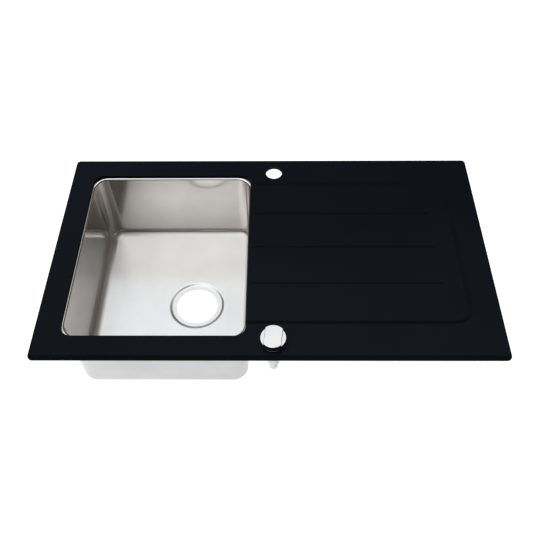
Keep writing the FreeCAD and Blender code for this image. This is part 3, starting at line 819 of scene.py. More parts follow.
@dataclass(frozen=True)
class Plating:
    """Bright plated metal, such as polished chrome or dull zinc."""

    name: str
    dark: Colour
    light: Colour
    gloss: Pair
    grain: Point = (30, 30, 30)
    depth: float = 0.004

    def make(self) -> Material:
        """Make the material, with a clouded gloss and faint scratches.

        Returns:
            The material.
        """
        tree = Tree(self.name)
        tree.settle(Metallic=1.0)
        tree.tones(tree.noise(self.grain, detail=4), self.dark, self.light)
        finer = tuple(3 * scale for scale in self.grain)
        tree.gloss(tree.noise(finer, detail=3), *self.gloss)
        tree.relief(tree.noise(900, detail=3), self.depth, strength=0.4)
        return tree.material


@dataclass(frozen=True)
class Moulded:
    """Plastic, rubber or cured sealant with a moulded grain."""

    name: str
    dark: Colour
    light: Colour
    gloss: Pair
    grain: float = 900.0
    depth: float = 0.03
    milky: float = 0.0

    def make(self) -> Material:
        """Make the material, with a mottled tone and a fine grain.

        Returns:
            The material.
        """
        tree = Tree(self.name)
        tree.settle(
            IOR=1.47, Subsurface_Weight=self.milky, Subsurface_Scale=0.004, Subsurface_Radius=(1, 1, 1)
        )
        tree.tones(tree.noise(45, detail=4), self.dark, self.light)
        grain = tree.noise(self.grain, detail=3)
        tree.gloss(grain, *self.gloss)
        tree.relief(grain, self.depth, strength=0.5)
        return tree.material


@dataclass(frozen=True)
class Foam:
    """Closed-cell foam strip."""

    name: str = "seal_foam"
    dark: Colour = (0.012, 0.012, 0.013)
    light: Colour = (0.045, 0.045, 0.047)

    def make(self) -> Material:
        """Make the material, with open pores on its cut faces.

        Returns:
            The material.
        """
        tree = Tree(self.name)
        tree.settle(IOR=1.4, Specular_IOR_Level=0.3)
        pores = tree.cells(900)
        tree.tones(pores, self.dark, self.light, span=(0.1, 0.6))
        tree.gloss(pores, low=0.75, high=0.95)
        tree.relief(pores, depth=0.3, strength=0.6)
        return tree.material


class Finishes:
    """The finishes of the sink, each made once."""

    def __init__(self) -> None:
        """Make every finish."""
        self.make_glass()
        self.make_steel()
        self.make_plating()
        self.make_mouldings()

    def make_glass(self) -> None:
        """Make the finishes of the glass top."""
        self.glass = Glass().make()
        self.glass_edge = Glass(
            "black_glass_edge", (0.0040, 0.0041, 0.0052), (0.0050, 0.0051, 0.0064), shine=0.008
        ).make()
        self.glass_slope = Glass(
            "black_glass_slope", (0.0042, 0.0045, 0.0066), (0.0058, 0.0062, 0.0092), shine=0.014
        ).make()
        self.ground_glass = Moulded(
            "black_glass_ground", (0.04, 0.044, 0.05), (0.06, 0.065, 0.072), (0.45, 0.6),
            grain=600, depth=0.01,
        ).make()
        self.enamel = Enamel().make()

    def make_steel(self) -> None:
        """Make the finishes of the bowl."""
        self.wall_steel = Steel(
            "bowl_steel_walls", Brushing.LEVEL, (0.08, 0.14), 0.65, (0.72, 0.688, 0.635), (0.79, 0.753, 0.694)
        ).make()
        self.floor_steel = Steel(
            "bowl_steel_floor", Brushing.ALONG_Y, (0.34, 0.40), 0.1, (0.66, 0.65, 0.634), (0.72, 0.71, 0.692),
            depth=0.0005, falls=(Fall("X", -364.0, -220.0, 12.0), Fall("Y", 184.0, 84.0, 8.0)),
        ).make()
        self.radius_steel = Steel("bowl_steel_radius", Brushing.LEVEL, (0.42, 0.50), 0.0, depth=0.001).make()
        # Steel of the tub's outside: a rougher finish, with a tone darker than the inside as painted shade.
        self.outer_steel_painted_shade = Steel(
            "bowl_steel_outside_painted_shade", Brushing.LEVEL, (0.16, 0.26), 0.5, (0.495, 0.495, 0.50), (0.56, 0.56, 0.565)
        ).make()

    def make_plating(self) -> None:
        """Make the finishes of the knob, the rails, the clips and the small steel pieces."""
        grey = ((0.44, 0.45, 0.47), (0.60, 0.60, 0.58))
        self.chrome = Plating(
            "chrome_polished", (0.53, 0.515, 0.495), (0.57, 0.555, 0.535), (0.04, 0.09)
        ).make()
        # Near-white chrome for the knob's rounded edges: a painted highlight, not a different plating.
        self.chrome_painted_highlight = Plating(
            "chrome_edge_painted_highlight", (0.93, 0.92, 0.90), (0.98, 0.97, 0.95), (0.16, 0.24)
        ).make()
        self.chrome_satin = Plating(
            "chrome_grip_satin", (0.66, 0.65, 0.63), (0.72, 0.71, 0.69), (0.4, 0.5)
        ).make()
        self.zinc_sheet = Plating("zinc_sheet_rolled", *grey, (0.3, 0.46), (55, 55, 160), 0.01).make()
        self.zinc_screw = Plating(
            "zinc_screw_bright", (0.5, 0.5, 0.49), (0.66, 0.65, 0.62), (0.22, 0.36), (120, 120, 120)
        ).make()
        self.zinc_claw = Plating("zinc_claw_dull", *grey, (0.34, 0.52), (90, 90, 90), 0.02).make()
        self.bare_steel = Plating(
            "turned_steel_bare", (0.40, 0.40, 0.40), (0.56, 0.56, 0.55), (0.22, 0.4), (60, 60, 900), 0.01
        ).make()

    def make_mouldings(self) -> None:
        """Make the finishes of the plastic, rubber, foam and sealant pieces."""
        self.sealant = Moulded(
            "sealant_cured", (0.014, 0.014, 0.015), (0.03, 0.03, 0.032), (0.4, 0.6), grain=300
        ).make()
        self.rubber = Moulded("rubber_black", (0.012, 0.012, 0.012), (0.026, 0.026, 0.027), (0.5, 0.7)).make()
        self.damping = Moulded(
            "damping_sheet_grey", (0.07, 0.07, 0.073), (0.14, 0.14, 0.145), (0.7, 0.9), grain=420, depth=0.12
        ).make()
        self.clip_plastic = Moulded(
            "clip_plastic_dark", (0.045, 0.045, 0.05), (0.075, 0.075, 0.082), (0.38, 0.52)
        ).make()
        self.fibre = Moulded(
            "slip_fibre_brown", (0.22, 0.11, 0.06), (0.36, 0.2, 0.11), (0.6, 0.8), grain=260, depth=0.05
        ).make()
        self.nut_plastic = Moulded(
            "nut_plastic_white", (0.66, 0.66, 0.65), (0.76, 0.76, 0.75), (0.35, 0.5)
        ).make()
        self.pale_plastic = Moulded(
            "control_plastic_pale", (0.92, 0.92, 0.91), (0.97, 0.97, 0.965), (0.28, 0.42), milky=0.3
        ).make()
        self.slider_plastic = Moulded(
            "slider_plastic_natural", (0.6, 0.6, 0.57), (0.72, 0.72, 0.69), (0.35, 0.5)
        ).make()
        self.foam = Foam().make()


def settle_piece(bench: Bench, body: str, slot: str, material: Material, *nodes: str) -> bpy.types.Object:
    """Put a finished piece on its body, in place of CAD nodes, with its finish.

    Args:
        bench: The finished mesh.
        body: CAD body that it rides on.
        slot: The record's material slot; not used.
        material: Its main material.
        *nodes: The CAD nodes that it stands for.

    Returns:
        The piece's object.
    """
    obj = bench.obj
    obj.data.materials.clear()
    obj.data.materials.append(material)
    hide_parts(*nodes)
    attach(obj, body)
    log.info("%s: %d faces on %s", obj.name, len(obj.data.polygons), body)
    return obj


def dress_faces(obj: bpy.types.Object, material: Material, test: FaceTest) -> None:
    """Give some faces of a piece a further material.

    Args:
        obj: The piece.
        material: The further material.
        test: Says from a face's middle, in millimetres, and its normal whether it gets the material.
    """
    obj.data.materials.append(material)
    index = len(obj.data.materials) - 1
    for face in obj.data.polygons:
        if test(face.center / MM, face.normal):
            face.material_index = index


@dataclass
class GlassTop:
    """Glass pane with its cut-out, two holes, front bevel and shallow lined drainer."""

    length: float = 860.0
    depth: float = 500.0
    low: float = 3.0
    thick: float = 6.0
    corner: float = 8.0
    arris: float = 0.8
    bevel_width: float = 8.0
    bevel_drop: float = 2.0
    cut_size: Pair = (340.0, 404.0)
    cut_corner: float = 22.0
    cut_steps: int = 16
    hole_radius: float = 17.5
    holes: tuple[Pair, ...] = (TAP_HOLE, CONTROL_HOLE)
    hole_arris: float = 1.5
    drainer_x: Pair = (-95.0, 379.0)
    drainer_y: Pair = (-177.0, 184.5)
    drainer_corner: float = 35.0
    drainer_slope: float = 9.0
    drainer_drop: float = 1.5
    # How far above the glass the drainer's slope starts in its cutter.
    drainer_lead: float = 0.06
    slope_steps: int = 6
    line_x: Pair = (-33.0, 331.0)
    line_rows: tuple[float, ...] = (94.25, 5.5, -83.25)
    line_width: float = 3.0
    line_corner: float = 1.35
    line_drop: float = 0.5
    line_rounding: float = 0.45
    # Upward parts of the normal that tell faces apart.
    level_normal: float = 0.9995
    sloping_normal: float = 0.9
    ground_normals: Pair = (0.02, 0.999)

    @property
    def top(self) -> float:
        """Height of the upper face."""
        return self.low + self.thick

    def build(self) -> Bench:
        """Model the pane.

        Returns:
            The finished mesh.
        """
        size = (self.length, self.depth)
        pane = Bench.slab("glass_pane", size, (0, 0, self.low), self.corner, self.thick, segments=10)
        bevel_foot = (0, -self.depth / 2, self.top - self.bevel_drop)
        pane.slice(bevel_foot, (0, -self.bevel_drop, self.bevel_width), clear=True)
        below, through = (*BOWL_CENTRE, self.low - SPARE), self.thick + 2 * SPARE
        cut = Bench.slab("cut", self.cut_size, below, self.cut_corner, through, self.cut_steps)
        pane.carve(cut)
        for hole in self.holes:
            pane.drill(self.hole_radius, hole, (self.low, self.top), sides=72)
        pane.bevel(self.hole_arris, segments=3, test=self.on_hole_rim)
        pane.ease(self.arris)
        self.sink_drainer(pane)
        pane.shade(angle=30)
        return pane

    def sink_drainer(self, pane: Bench) -> None:
        """Sink the drainer with an eased slope, and its three lines.

        Args:
            pane: The pane.
        """
        (left, right), (front, rear) = self.drainer_x, self.drainer_y
        start = self.top + self.drainer_lead
        middle_low = ((left + right) / 2, (front + rear) / 2, start)
        size = (right - left, rear - front)
        tool = Bench.slab("drainer", size, middle_low, self.drainer_corner, SPARE, self.cut_steps)
        drop = self.drainer_drop + self.drainer_lead
        turns = [math.pi * step / self.slope_steps for step in range(self.slope_steps + 1)]
        drops = [drop * (1 - math.cos(turn)) / 2 for turn in turns]
        inset = self.drainer_slope / self.slope_steps
        for here, there in zip(drops, drops[1:]):
            with tool.editing(Kind.FACES, lambda middle: middle.z < start - here + NEAR):
                bpy.ops.mesh.inset(thickness=inset * MM, depth=(there - here) * MM)
        pane.carve(tool, *(self.make_line(row) for row in self.line_rows))

    def make_line(self, row: float) -> Bench:
        """Model the cutter of one drainer line.

        Args:
            row: Place of the line along Y.

        Returns:
            The cutter.
        """
        start, end = self.line_x
        bed = self.top - self.drainer_drop - self.line_drop
        size, low = (end - start, self.line_width), ((start + end) / 2, row, bed)
        line = Bench.slab("line", size, low, self.line_corner, self.line_drop + SPARE, segments=5)
        line.bevel(self.line_rounding, segments=3, test=lambda middle: middle.z < bed + NEAR)
        return line

    def dress(self, pane: Bench, finishes: Finishes) -> None:
        """Finish the pane, with the fired coat on its underside.

        Args:
            pane: The finished mesh.
            finishes: The finishes.
        """
        obj = settle_piece(pane, "sink", "black_glass", finishes.glass, "glass_top")
        dress_faces(obj, finishes.glass_slope, lambda middle, normal: normal.z < self.level_normal)
        dress_faces(obj, finishes.glass_edge, self.on_edge)
        dress_faces(obj, finishes.ground_glass, self.on_hole_arris)
        dress_faces(obj, finishes.enamel, lambda middle, normal: normal.z < -self.sloping_normal)

    def hole_distance(self, middle: Vector) -> float:
        """Distance from the middle of the nearer hole."""
        return min((middle.xy - Vector(hole)).length for hole in self.holes)

    def on_hole_rim(self, middle: Vector) -> bool:
        """Whether an edge is on the upper rim of a hole."""
        rim = abs(self.hole_distance(middle) - self.hole_radius) < NEAR_CIRCLE
        return rim and middle.z > self.top - NEAR

    def on_edge(self, middle: Vector, normal: Vector) -> bool:
        """Tell the front bevel, the outer edges and the drainer lines from the rest.

        Args:
            middle: Middle of a face.
            normal: Its normal.

        Returns:
            Whether the face is in one of them.
        """
        bevel = middle.y < self.bevel_width - self.depth / 2 + NEAR
        groove = middle.z < self.top - self.drainer_drop - 2 * NEAR
        return normal.z < self.sloping_normal or bevel or groove

    def on_hole_arris(self, middle: Vector, normal: Vector) -> bool:
        """Tell the ground arris of a hole from the rest.

        Args:
            middle: Middle of a face.
            normal: Its normal.

        Returns:
            Whether the face is in an arris.
        """
        low, high = self.ground_normals
        return self.hole_distance(middle) < self.hole_radius + self.hole_arris and low < normal.z < high


@dataclass
class Bowl:
    """Pressed steel tub hung from a flange, with a dished seat round the drain hole."""

    size: Pair = (335.0, 399.0)
    corner: float = 29.0
    corner_steps: int = 16
    flange_size: Pair = (372.0, 436.0)
    flange_corner: float = 38.0
    flange_top: float = 2.0
    steel: float = 1.0
    bend: float = 4.0
    bend_angle: float = 60.0
    floor: float = -181.0
    floor_radius: float = 18.0
    drain: Pair = (-163.0, -8.5)
    seat_radius: float = 60.0
    seat_slope: float = 5.0
    seat_drop: float = 3.5
    seat_rounding: float = 1.6
    hole_radius: float = 45.0
    # How far off a loop of edges is held until it is joined.
    apart: float = 20.0
    # Upward parts of the normal that tell faces apart.
    floor_normal: float = 0.985
    radius_normal: float = 0.55
    seat_normal: float = 0.2
    upright_normal: float = 0.02

    def build(self) -> Bench:
        """Model the tub.

        Returns:
            The finished mesh.
        """
        tub = Bench.plate("bowl_tub", self.size, (*BOWL_CENTRE, self.flange_top))
        tub.round_corners(self.corner, self.corner_steps)
        with tub.editing(Kind.FACES):
            tub.push((0, 0, self.floor - self.flange_top))
        tub.bevel(self.floor_radius, segments=14, test=lambda middle: middle.z < self.floor + NEAR)
        self.add_flange(tub)
        self.dish_drain(tub)
        tub.thicken(self.steel)
        tub.shade()
        return tub

    def add_flange(self, tub: Bench) -> None:
        """Join a flat flange to the tub's upper edge and bend the two together.

        Args:
            tub: The tub.
        """
        outer = Bench.plate("flange", self.flange_size, (*BOWL_CENTRE, self.flange_top + self.apart))
        outer.round_corners(self.flange_corner, self.corner_steps)
        tub.absorb(outer)
        edge = self.flange_top - NEAR
        with tub.editing(Kind.FACES, lambda middle: middle.z > edge):
            bpy.ops.mesh.delete(type="ONLY_FACE")
        with tub.editing(Kind.EDGES, lambda middle: middle.z > edge):
            bpy.ops.mesh.bridge_edge_loops()
        tub.lift(-self.apart, lambda middle: middle.z > edge + self.apart)
        tub.bevel_sharp(self.bend, segments=6, angle=self.bend_angle)

    def dish_drain(self, tub: Bench) -> None:
        """Open the floor, and press the drain's seat into it.

        Args:
            tub: The tub.
        """
        edge = self.floor + NEAR
        with tub.editing(Kind.FACES, lambda middle: middle.z < edge):
            bpy.ops.mesh.delete(type="ONLY_FACE")
        with tub.editing(Kind.EDGES):
            below = Vector((*self.drain, self.floor - self.apart)) * MM
            count = 4 * (self.corner_steps + 1)
            bpy.ops.mesh.primitive_circle_add(vertices=count, radius=self.seat_radius * MM, location=below)
            tub.pick(Kind.EDGES, lambda middle: middle.z < edge)
            bpy.ops.mesh.bridge_edge_loops()
        tub.lift(self.apart, lambda middle: middle.z < edge - self.apart)
        seat = self.floor - self.seat_drop
        inner = self.seat_radius - self.seat_slope
        rings = ((self.seat_radius, self.floor), (inner, seat), (self.hole_radius, seat))
        for (radius, height), (next_radius, next_height) in zip(rings, rings[1:]):
            share = next_radius / radius
            centre = Vector((*self.drain, next_height)) * MM
            with tub.editing(Kind.EDGES, self.ring_test(radius, height)):
                tub.push((0, 0, next_height - height))
                bpy.ops.transform.resize(value=(share, share, 1), center_override=centre)
        for radius, height in rings[:2]:
            tub.bevel(self.seat_rounding, segments=3, test=self.ring_test(radius, height))

    def ring_test(self, radius: float, height: float) -> Test:
        """Make a test for the edges of one ring round the drain.

        Args:
            radius: Radius of the ring.
            height: Height of the ring.

        Returns:
            The test.
        """
        def on_ring(middle: Vector) -> bool:
            """Whether an edge's middle is on the ring."""
            return abs(middle.z - height) < NEAR and abs(self.drain_distance(middle) - radius) < NEAR_CIRCLE
        return on_ring

    def drain_distance(self, middle: Vector) -> float:
        """Distance from the drain's axis."""
        return (middle.xy - Vector(self.drain)).length

    def dress(self, tub: Bench, finishes: Finishes) -> None:
        """Finish the tub, brushed round its walls and along its floor.

        Args:
            tub: The finished mesh.
            finishes: The finishes.
        """
        obj = settle_piece(tub, "sink", "bowl_steel", finishes.wall_steel, "bowl")
        dress_faces(obj, finishes.radius_steel, self.on_radius)
        dress_faces(obj, finishes.floor_steel, self.on_floor)
        # The outer faces get the darker steel, whose lower tone is painted shade.
        dress_faces(obj, finishes.outer_steel_painted_shade, self.faces_away)

    def on_radius(self, middle: Vector, normal: Vector) -> bool:
        """Whether a face is in the lower part of the bend between the floor and a wall."""
        return normal.z > self.radius_normal and middle.z < self.floor + self.floor_radius

    def on_floor(self, middle: Vector, normal: Vector) -> bool:
        """Whether a face is in the floor or in the seat pressed into it."""
        seat = self.drain_distance(middle) < self.seat_radius + self.seat_rounding
        return normal.z > self.floor_normal or (seat and normal.z > self.seat_normal)

    def faces_away(self, middle: Vector, normal: Vector) -> bool:
        """Whether a face is on the outer side of the tub."""
        away = normal.xy.dot(middle.xy - Vector(BOWL_CENTRE)) > 0
        return normal.z < -self.upright_normal or (normal.z < self.upright_normal and away)


@dataclass
class Strip:
    """Flat frame between two rounded rectangles: a foam seal or a bead of sealant."""

    node: str
    slot: str
    centre: Pair
    outer: Pair
    outer_corner: float
    width: float
    inner_corner: float
    span: Pair
    easing: float

    def build(self) -> Bench:
        """Model the frame.

        Returns:
            The finished mesh.
        """
        low, high = self.span
        place = (*self.centre, low)
        strip = Bench.slab(f"{self.node}_strip", self.outer, place, self.outer_corner, high - low)
        inner = (self.outer[0] - 2 * self.width, self.outer[1] - 2 * self.width)
        through = high - low + 2 * SPARE
        strip.carve(Bench.slab("inner", inner, (*self.centre, low - SPARE), self.inner_corner, through))
        strip.ease(self.easing, segments=3)
        strip.shade()
        return strip

    def dress(self, strip: Bench, finishes: Finishes) -> None:
        """Finish the frame as foam or sealant."""
        material = finishes.foam if self.slot == "foam" else finishes.sealant
        settle_piece(strip, "sink", self.slot, material, self.node)


@dataclass
class SoundPad:
    """Damping sheet under the bowl's floor, pressed with a waffle of shallow cells."""

    centre: Pair = (-287.0, 1.0)
    size: Pair = (100.0, 314.0)
    span: Pair = (-184.5, -182.0)
    corner: float = 12.0
    easing: float = 0.6
    cell: float = 8.0
    cell_depth: float = 0.8
    pitch: float = 11.0
    rows: tuple[int, int] = (8, 27)

    def build(self) -> Bench:
        """Model the sheet.

        Returns:
            The finished mesh.
        """
        low, high = self.span
        pad = Bench.slab("damping_pad", self.size, (*self.centre, low), self.corner, high - low)
        pad.ease(self.easing)
        x, y = (middle - self.pitch * (count - 1) / 2 for middle, count in zip(self.centre, self.rows))
        half, bed = self.cell / 2, low + self.cell_depth
        cells = Bench.block("cells", (x - half, y - half, low - SPARE), (x + half, y + half, bed))
        steps = ((self.pitch * MM, 0, 0), (0, self.pitch * MM, 0))
        for step, count in zip(steps, self.rows):
            cells.modify(
                "ARRAY", count=count, use_relative_offset=False, use_constant_offset=True,
                constant_offset_displace=step,
            )
        pad.carve(cells)
        pad.shade()
        return pad

    def dress(self, pad: Bench, finishes: Finishes) -> None:
        """Finish the sheet."""
        settle_piece(pad, "sink", "damping", finishes.damping, "sound_pad")


@dataclass(frozen=True)
class Spot:
    """Place of a rail or clip, with its turn about Z in degrees."""

    x: float
    y: float
    turn: float

    def move(self) -> Matrix:
        """Turn and shift from the drawing board to the place."""
        return turn_to((self.x, self.y), self.turn)


@dataclass
class Rails:
    """Lipped steel channels bonded under the glass, with the place and length of each."""

    spots: tuple[tuple[str, Spot, float], ...] = (
        ("clip_rail_left", Spot(-SIDE_RAIL_X, 0, 90), 300.0),
        ("clip_rail_right", Spot(SIDE_RAIL_X, 0, -90), 300.0),
        ("clip_rail_rear_left", Spot(REAR_LEFT_X, REAR_RAIL_Y, 0), 120.0),
        ("clip_rail_rear_right", Spot(REAR_RIGHT_X, REAR_RAIL_Y, 0), 120.0),
    )
    half_width: float = 8.0
    top: float = 2.0
    under: float = -9.0
    lip: float = 3.5
    sheet: float = 1.2
    fold: float = 1.6
    fold_angle: float = 60.0
    easing: float = 0.15

    def build(self) -> list[tuple[str, Bench]]:
        """Fold each channel from a strip of sheet.

        Returns:
            The node's name and the finished mesh of each channel.
        """
        return [(node, self.fold_channel(node, spot, length)) for node, spot, length in self.spots]

    def fold_channel(self, node: str, spot: Spot, length: float) -> Bench:
        """Fold one channel.

        Args:
            node: The CAD node's name.
            spot: Where it goes.
            length: Its length.

        Returns:
            The finished mesh.
        """
        half, edge = self.half_width, self.half_width - self.lip
        section = (
            (-edge, self.under), (-half, self.under), (-half, self.top),
            (half, self.top), (half, self.under), (edge, self.under),
        )
        channel = Bench.chain(f"{node}_channel", [(-length / 2, y, z) for y, z in section])
        with channel.editing(Kind.EDGES):
            channel.push((length, 0, 0))
        channel.bevel_sharp(self.fold, segments=4, angle=self.fold_angle)
        channel.thicken(self.sheet)
        channel.ease(self.easing, segments=1, angle=self.fold_angle)
        channel.shade()
        channel.place(spot.move())
        return channel

    def dress(self, channels: list[tuple[str, Bench]], finishes: Finishes) -> None:
        """Finish each channel."""
        for node, channel in channels:
            settle_piece(channel, "sink", "zinc_sheet", finishes.zinc_sheet, node)


@dataclass
class Clips:
    """Fixing clips: a block in the rail, a hanging screw, and a claw that swings out under the worktop."""

    spots: tuple[Spot, ...] = (
        Spot(-SIDE_RAIL_X, -SIDE_CLIP_Y, 90), Spot(-SIDE_RAIL_X, SIDE_CLIP_Y, 90),
        Spot(REAR_LEFT_X, REAR_RAIL_Y, 0), Spot(REAR_RIGHT_X, REAR_RAIL_Y, 0),
        Spot(SIDE_RAIL_X, SIDE_CLIP_Y, -90), Spot(SIDE_RAIL_X, -SIDE_CLIP_Y, -90),
    )
    axis: Pair = (0.0, 0.0)
    bore: float = 2.55
    bore_sides: int = 32
    block_size: Pair = (20.0, 13.0)
    block_span: Pair = (-7.8, -1.8)
    block_corner: float = 1.5
    block_easing: float = 0.5
    screw_radius: float = 2.5
    thread_depth: float = 0.45
    pitch: float = 0.8
    # How far the thread's ends run into the head and the stop.
    sunk: float = 0.2
    head_radius: float = 4.5
    head_span: Pair = (-1.75, 0.35)
    head_chamfer: float = 0.2
    head_dome: tuple[Pair, ...] = ((0.0, 0.9), (0.8, 0.2), (2.2, 0.0))
    stop_radius: float = 3.75
    stop_span: Pair = (-60.55, -58.05)
    stop_chamfer: float = 0.5
    stop_dome: tuple[Pair, ...] = ((0.0, 0.3), (0.3, 0.0))
    slot_width: float = 1.2
    slot_depth: float = 1.4
    arm_reach: float = 32.0
    arm_half: float = 5.0
    arm_span: Pair = (-58.0, -55.0)
    tip_thick: float = 4.0
    tip_top: float = -46.0
    tooth: float = 1.6
    notches: int = 3
    claw_fold: float = 1.5
    claw_easing: float = 0.35
    claw_angle: float = 40.0
    hub_radius: float = 5.5
    hub_top: float = -49.0

    def build(self) -> tuple[Bench, list[Bench], list[Bench]]:
        """Model one clip and copy it to every place.

        Returns:
            The blocks as one mesh, the screws and the claws.
        """
        moves = [spot.move() for spot in self.spots]
        block, screw, claw = self.make_block(), self.make_screw(), self.make_claw()
        blocks = [block.copy("clip_blocks", move) for move in moves]
        blocks[0].absorb(*blocks[1:])
        screws = [screw.copy(f"screw_{number}", move) for number, move in enumerate(moves, 1)]
        claws = [claw.copy(f"claw_{number}", move) for number, move in enumerate(moves, 1)]
        for pattern in (block, screw, claw):
            pattern.drop()
        return blocks[0], screws, claws

    def make_block(self) -> Bench:
        """Model the block that slides in the rail.

        Returns:
            The finished mesh.
        """
        low, high = self.block_span
        place = (*self.axis, low)
        block = Bench.slab("block", self.block_size, place, self.block_corner, high - low, segments=4)
        block.drill(self.bore, self.axis, self.block_span, self.bore_sides)
        block.ease(self.block_easing)
        block.shade()
        return block

    def make_screw(self) -> Bench:
        """Model the threaded screw, with a round head above and a slotted end below.

        Returns:
            The finished mesh.
        """
        low, high = self.stop_span
        under = self.head_span[0]
        stop_side = button(self.stop_radius, self.stop_span, self.stop_chamfer, self.stop_dome)
        head_side = button(self.head_radius, self.head_span, self.head_chamfer, self.head_dome)
        stop = Bench.turned("stop", ((0, low), *stop_side), self.axis, steps=32)
        head = Bench.turned("head", ((0, under), *head_side), self.axis, steps=32)
        reach, half = self.stop_radius + SPARE, self.slot_width / 2
        stop.carve(Bench.block("slot", (-reach, -half, low - SPARE), (reach, half, low + self.slot_depth)))
        radii = (self.screw_radius - self.thread_depth, self.screw_radius)
        span = (high - self.sunk, under + self.sunk)
        screw = Bench.threaded("screw", radii, self.pitch, span, self.axis, steps=18)
        screw.absorb(stop, head)
        screw.shade(angle=50)
        return screw

    def make_claw(self) -> Bench:
        """Model the claw, with a hub, an arm and a toothed tip.

        Returns:
            The finished mesh.
        """
        low, arm_top = self.arm_span
        half, reach = self.arm_half, self.arm_reach
        root = reach - self.tip_thick
        claw = Bench.block("claw", (0, -half, low), (reach, half, arm_top))
        claw.slice((root, 0, 0), (1, 0, 0), clear=False)
        with claw.editing(Kind.FACES, lambda middle: middle.x > root and middle.z > arm_top - NEAR):
            claw.push((0, 0, self.tip_top - arm_top))
        rows = [half * step / self.notches for step in range(1 - self.notches, self.notches)]
        for row in rows:
            claw.slice((0, row, 0), (0, 1, 0), clear=False)

        def in_notch(middle: Vector) -> bool:
            """Whether a vertex of the tip's upper edge lies between two teeth."""
            return middle.z > self.tip_top - NEAR and any(abs(middle.y - row) < NEAR for row in rows[::2])

        def in_fold(middle: Vector) -> bool:
            """Whether an edge is the one between the arm and the tip."""
            return abs(middle.x - root) < NEAR and abs(middle.z - arm_top) < NEAR

        claw.lift(-self.tooth, in_notch)
        with claw.editing(Kind.FACES):
            bpy.ops.mesh.dissolve_limited(angle_limit=math.radians(1))
        claw.bevel(self.claw_fold, segments=3, test=in_fold)
        hub = Bench.drum("hub", self.hub_radius, (*self.axis, low), self.hub_top, sides=40)
        for piece in (claw, hub):
            piece.ease(self.claw_easing, angle=self.claw_angle)
        claw.carve(hub, join=True)
        claw.drill(self.bore, self.axis, (low, self.hub_top), self.bore_sides)
        claw.shade()
        return claw

    def dress(self, made: tuple[Bench, list[Bench], list[Bench]], finishes: Finishes) -> None:
        """Finish the blocks, screws and claws.

        Args:
            made: The blocks as one mesh, the screws and the claws.
            finishes: The finishes.
        """
        blocks, screws, claws = made
        settle_piece(blocks, "sink", "clip_plastic", finishes.clip_plastic, "clip_brackets")
        for number, (screw, claw) in enumerate(zip(screws, claws), 1):
            settle_piece(
                screw, f"clip_{number}_screw", "zinc_screw", finishes.zinc_screw, f"clip_screw_{number}"
            )
            settle_piece(claw, f"clip_{number}_claw", "zinc_claw", finishes.zinc_claw, f"clip_claw_{number}")


@dataclass(frozen=True)
class Ring:
    """Flat ring with its inner and outer radius, its lower and upper face, and the rounding of its edges."""

    node: str
    radii: Pair
    span: Pair
    easing: float

    def build(self, axis: Pair) -> Bench:
        """Model the ring.

        Args:
            axis: Place of its axis along X and Y.

        Returns:
            The finished mesh.
        """
        (inner, outer), (low, high) = self.radii, self.span
        profile = ((inner, low), (outer, low), (outer, high), (inner, high))
        ring = Bench.turned(f"{self.node}_ring", profile, axis, steps=80)
        ring.ease(self.easing, segments=3)
        ring.shade()
        return ring


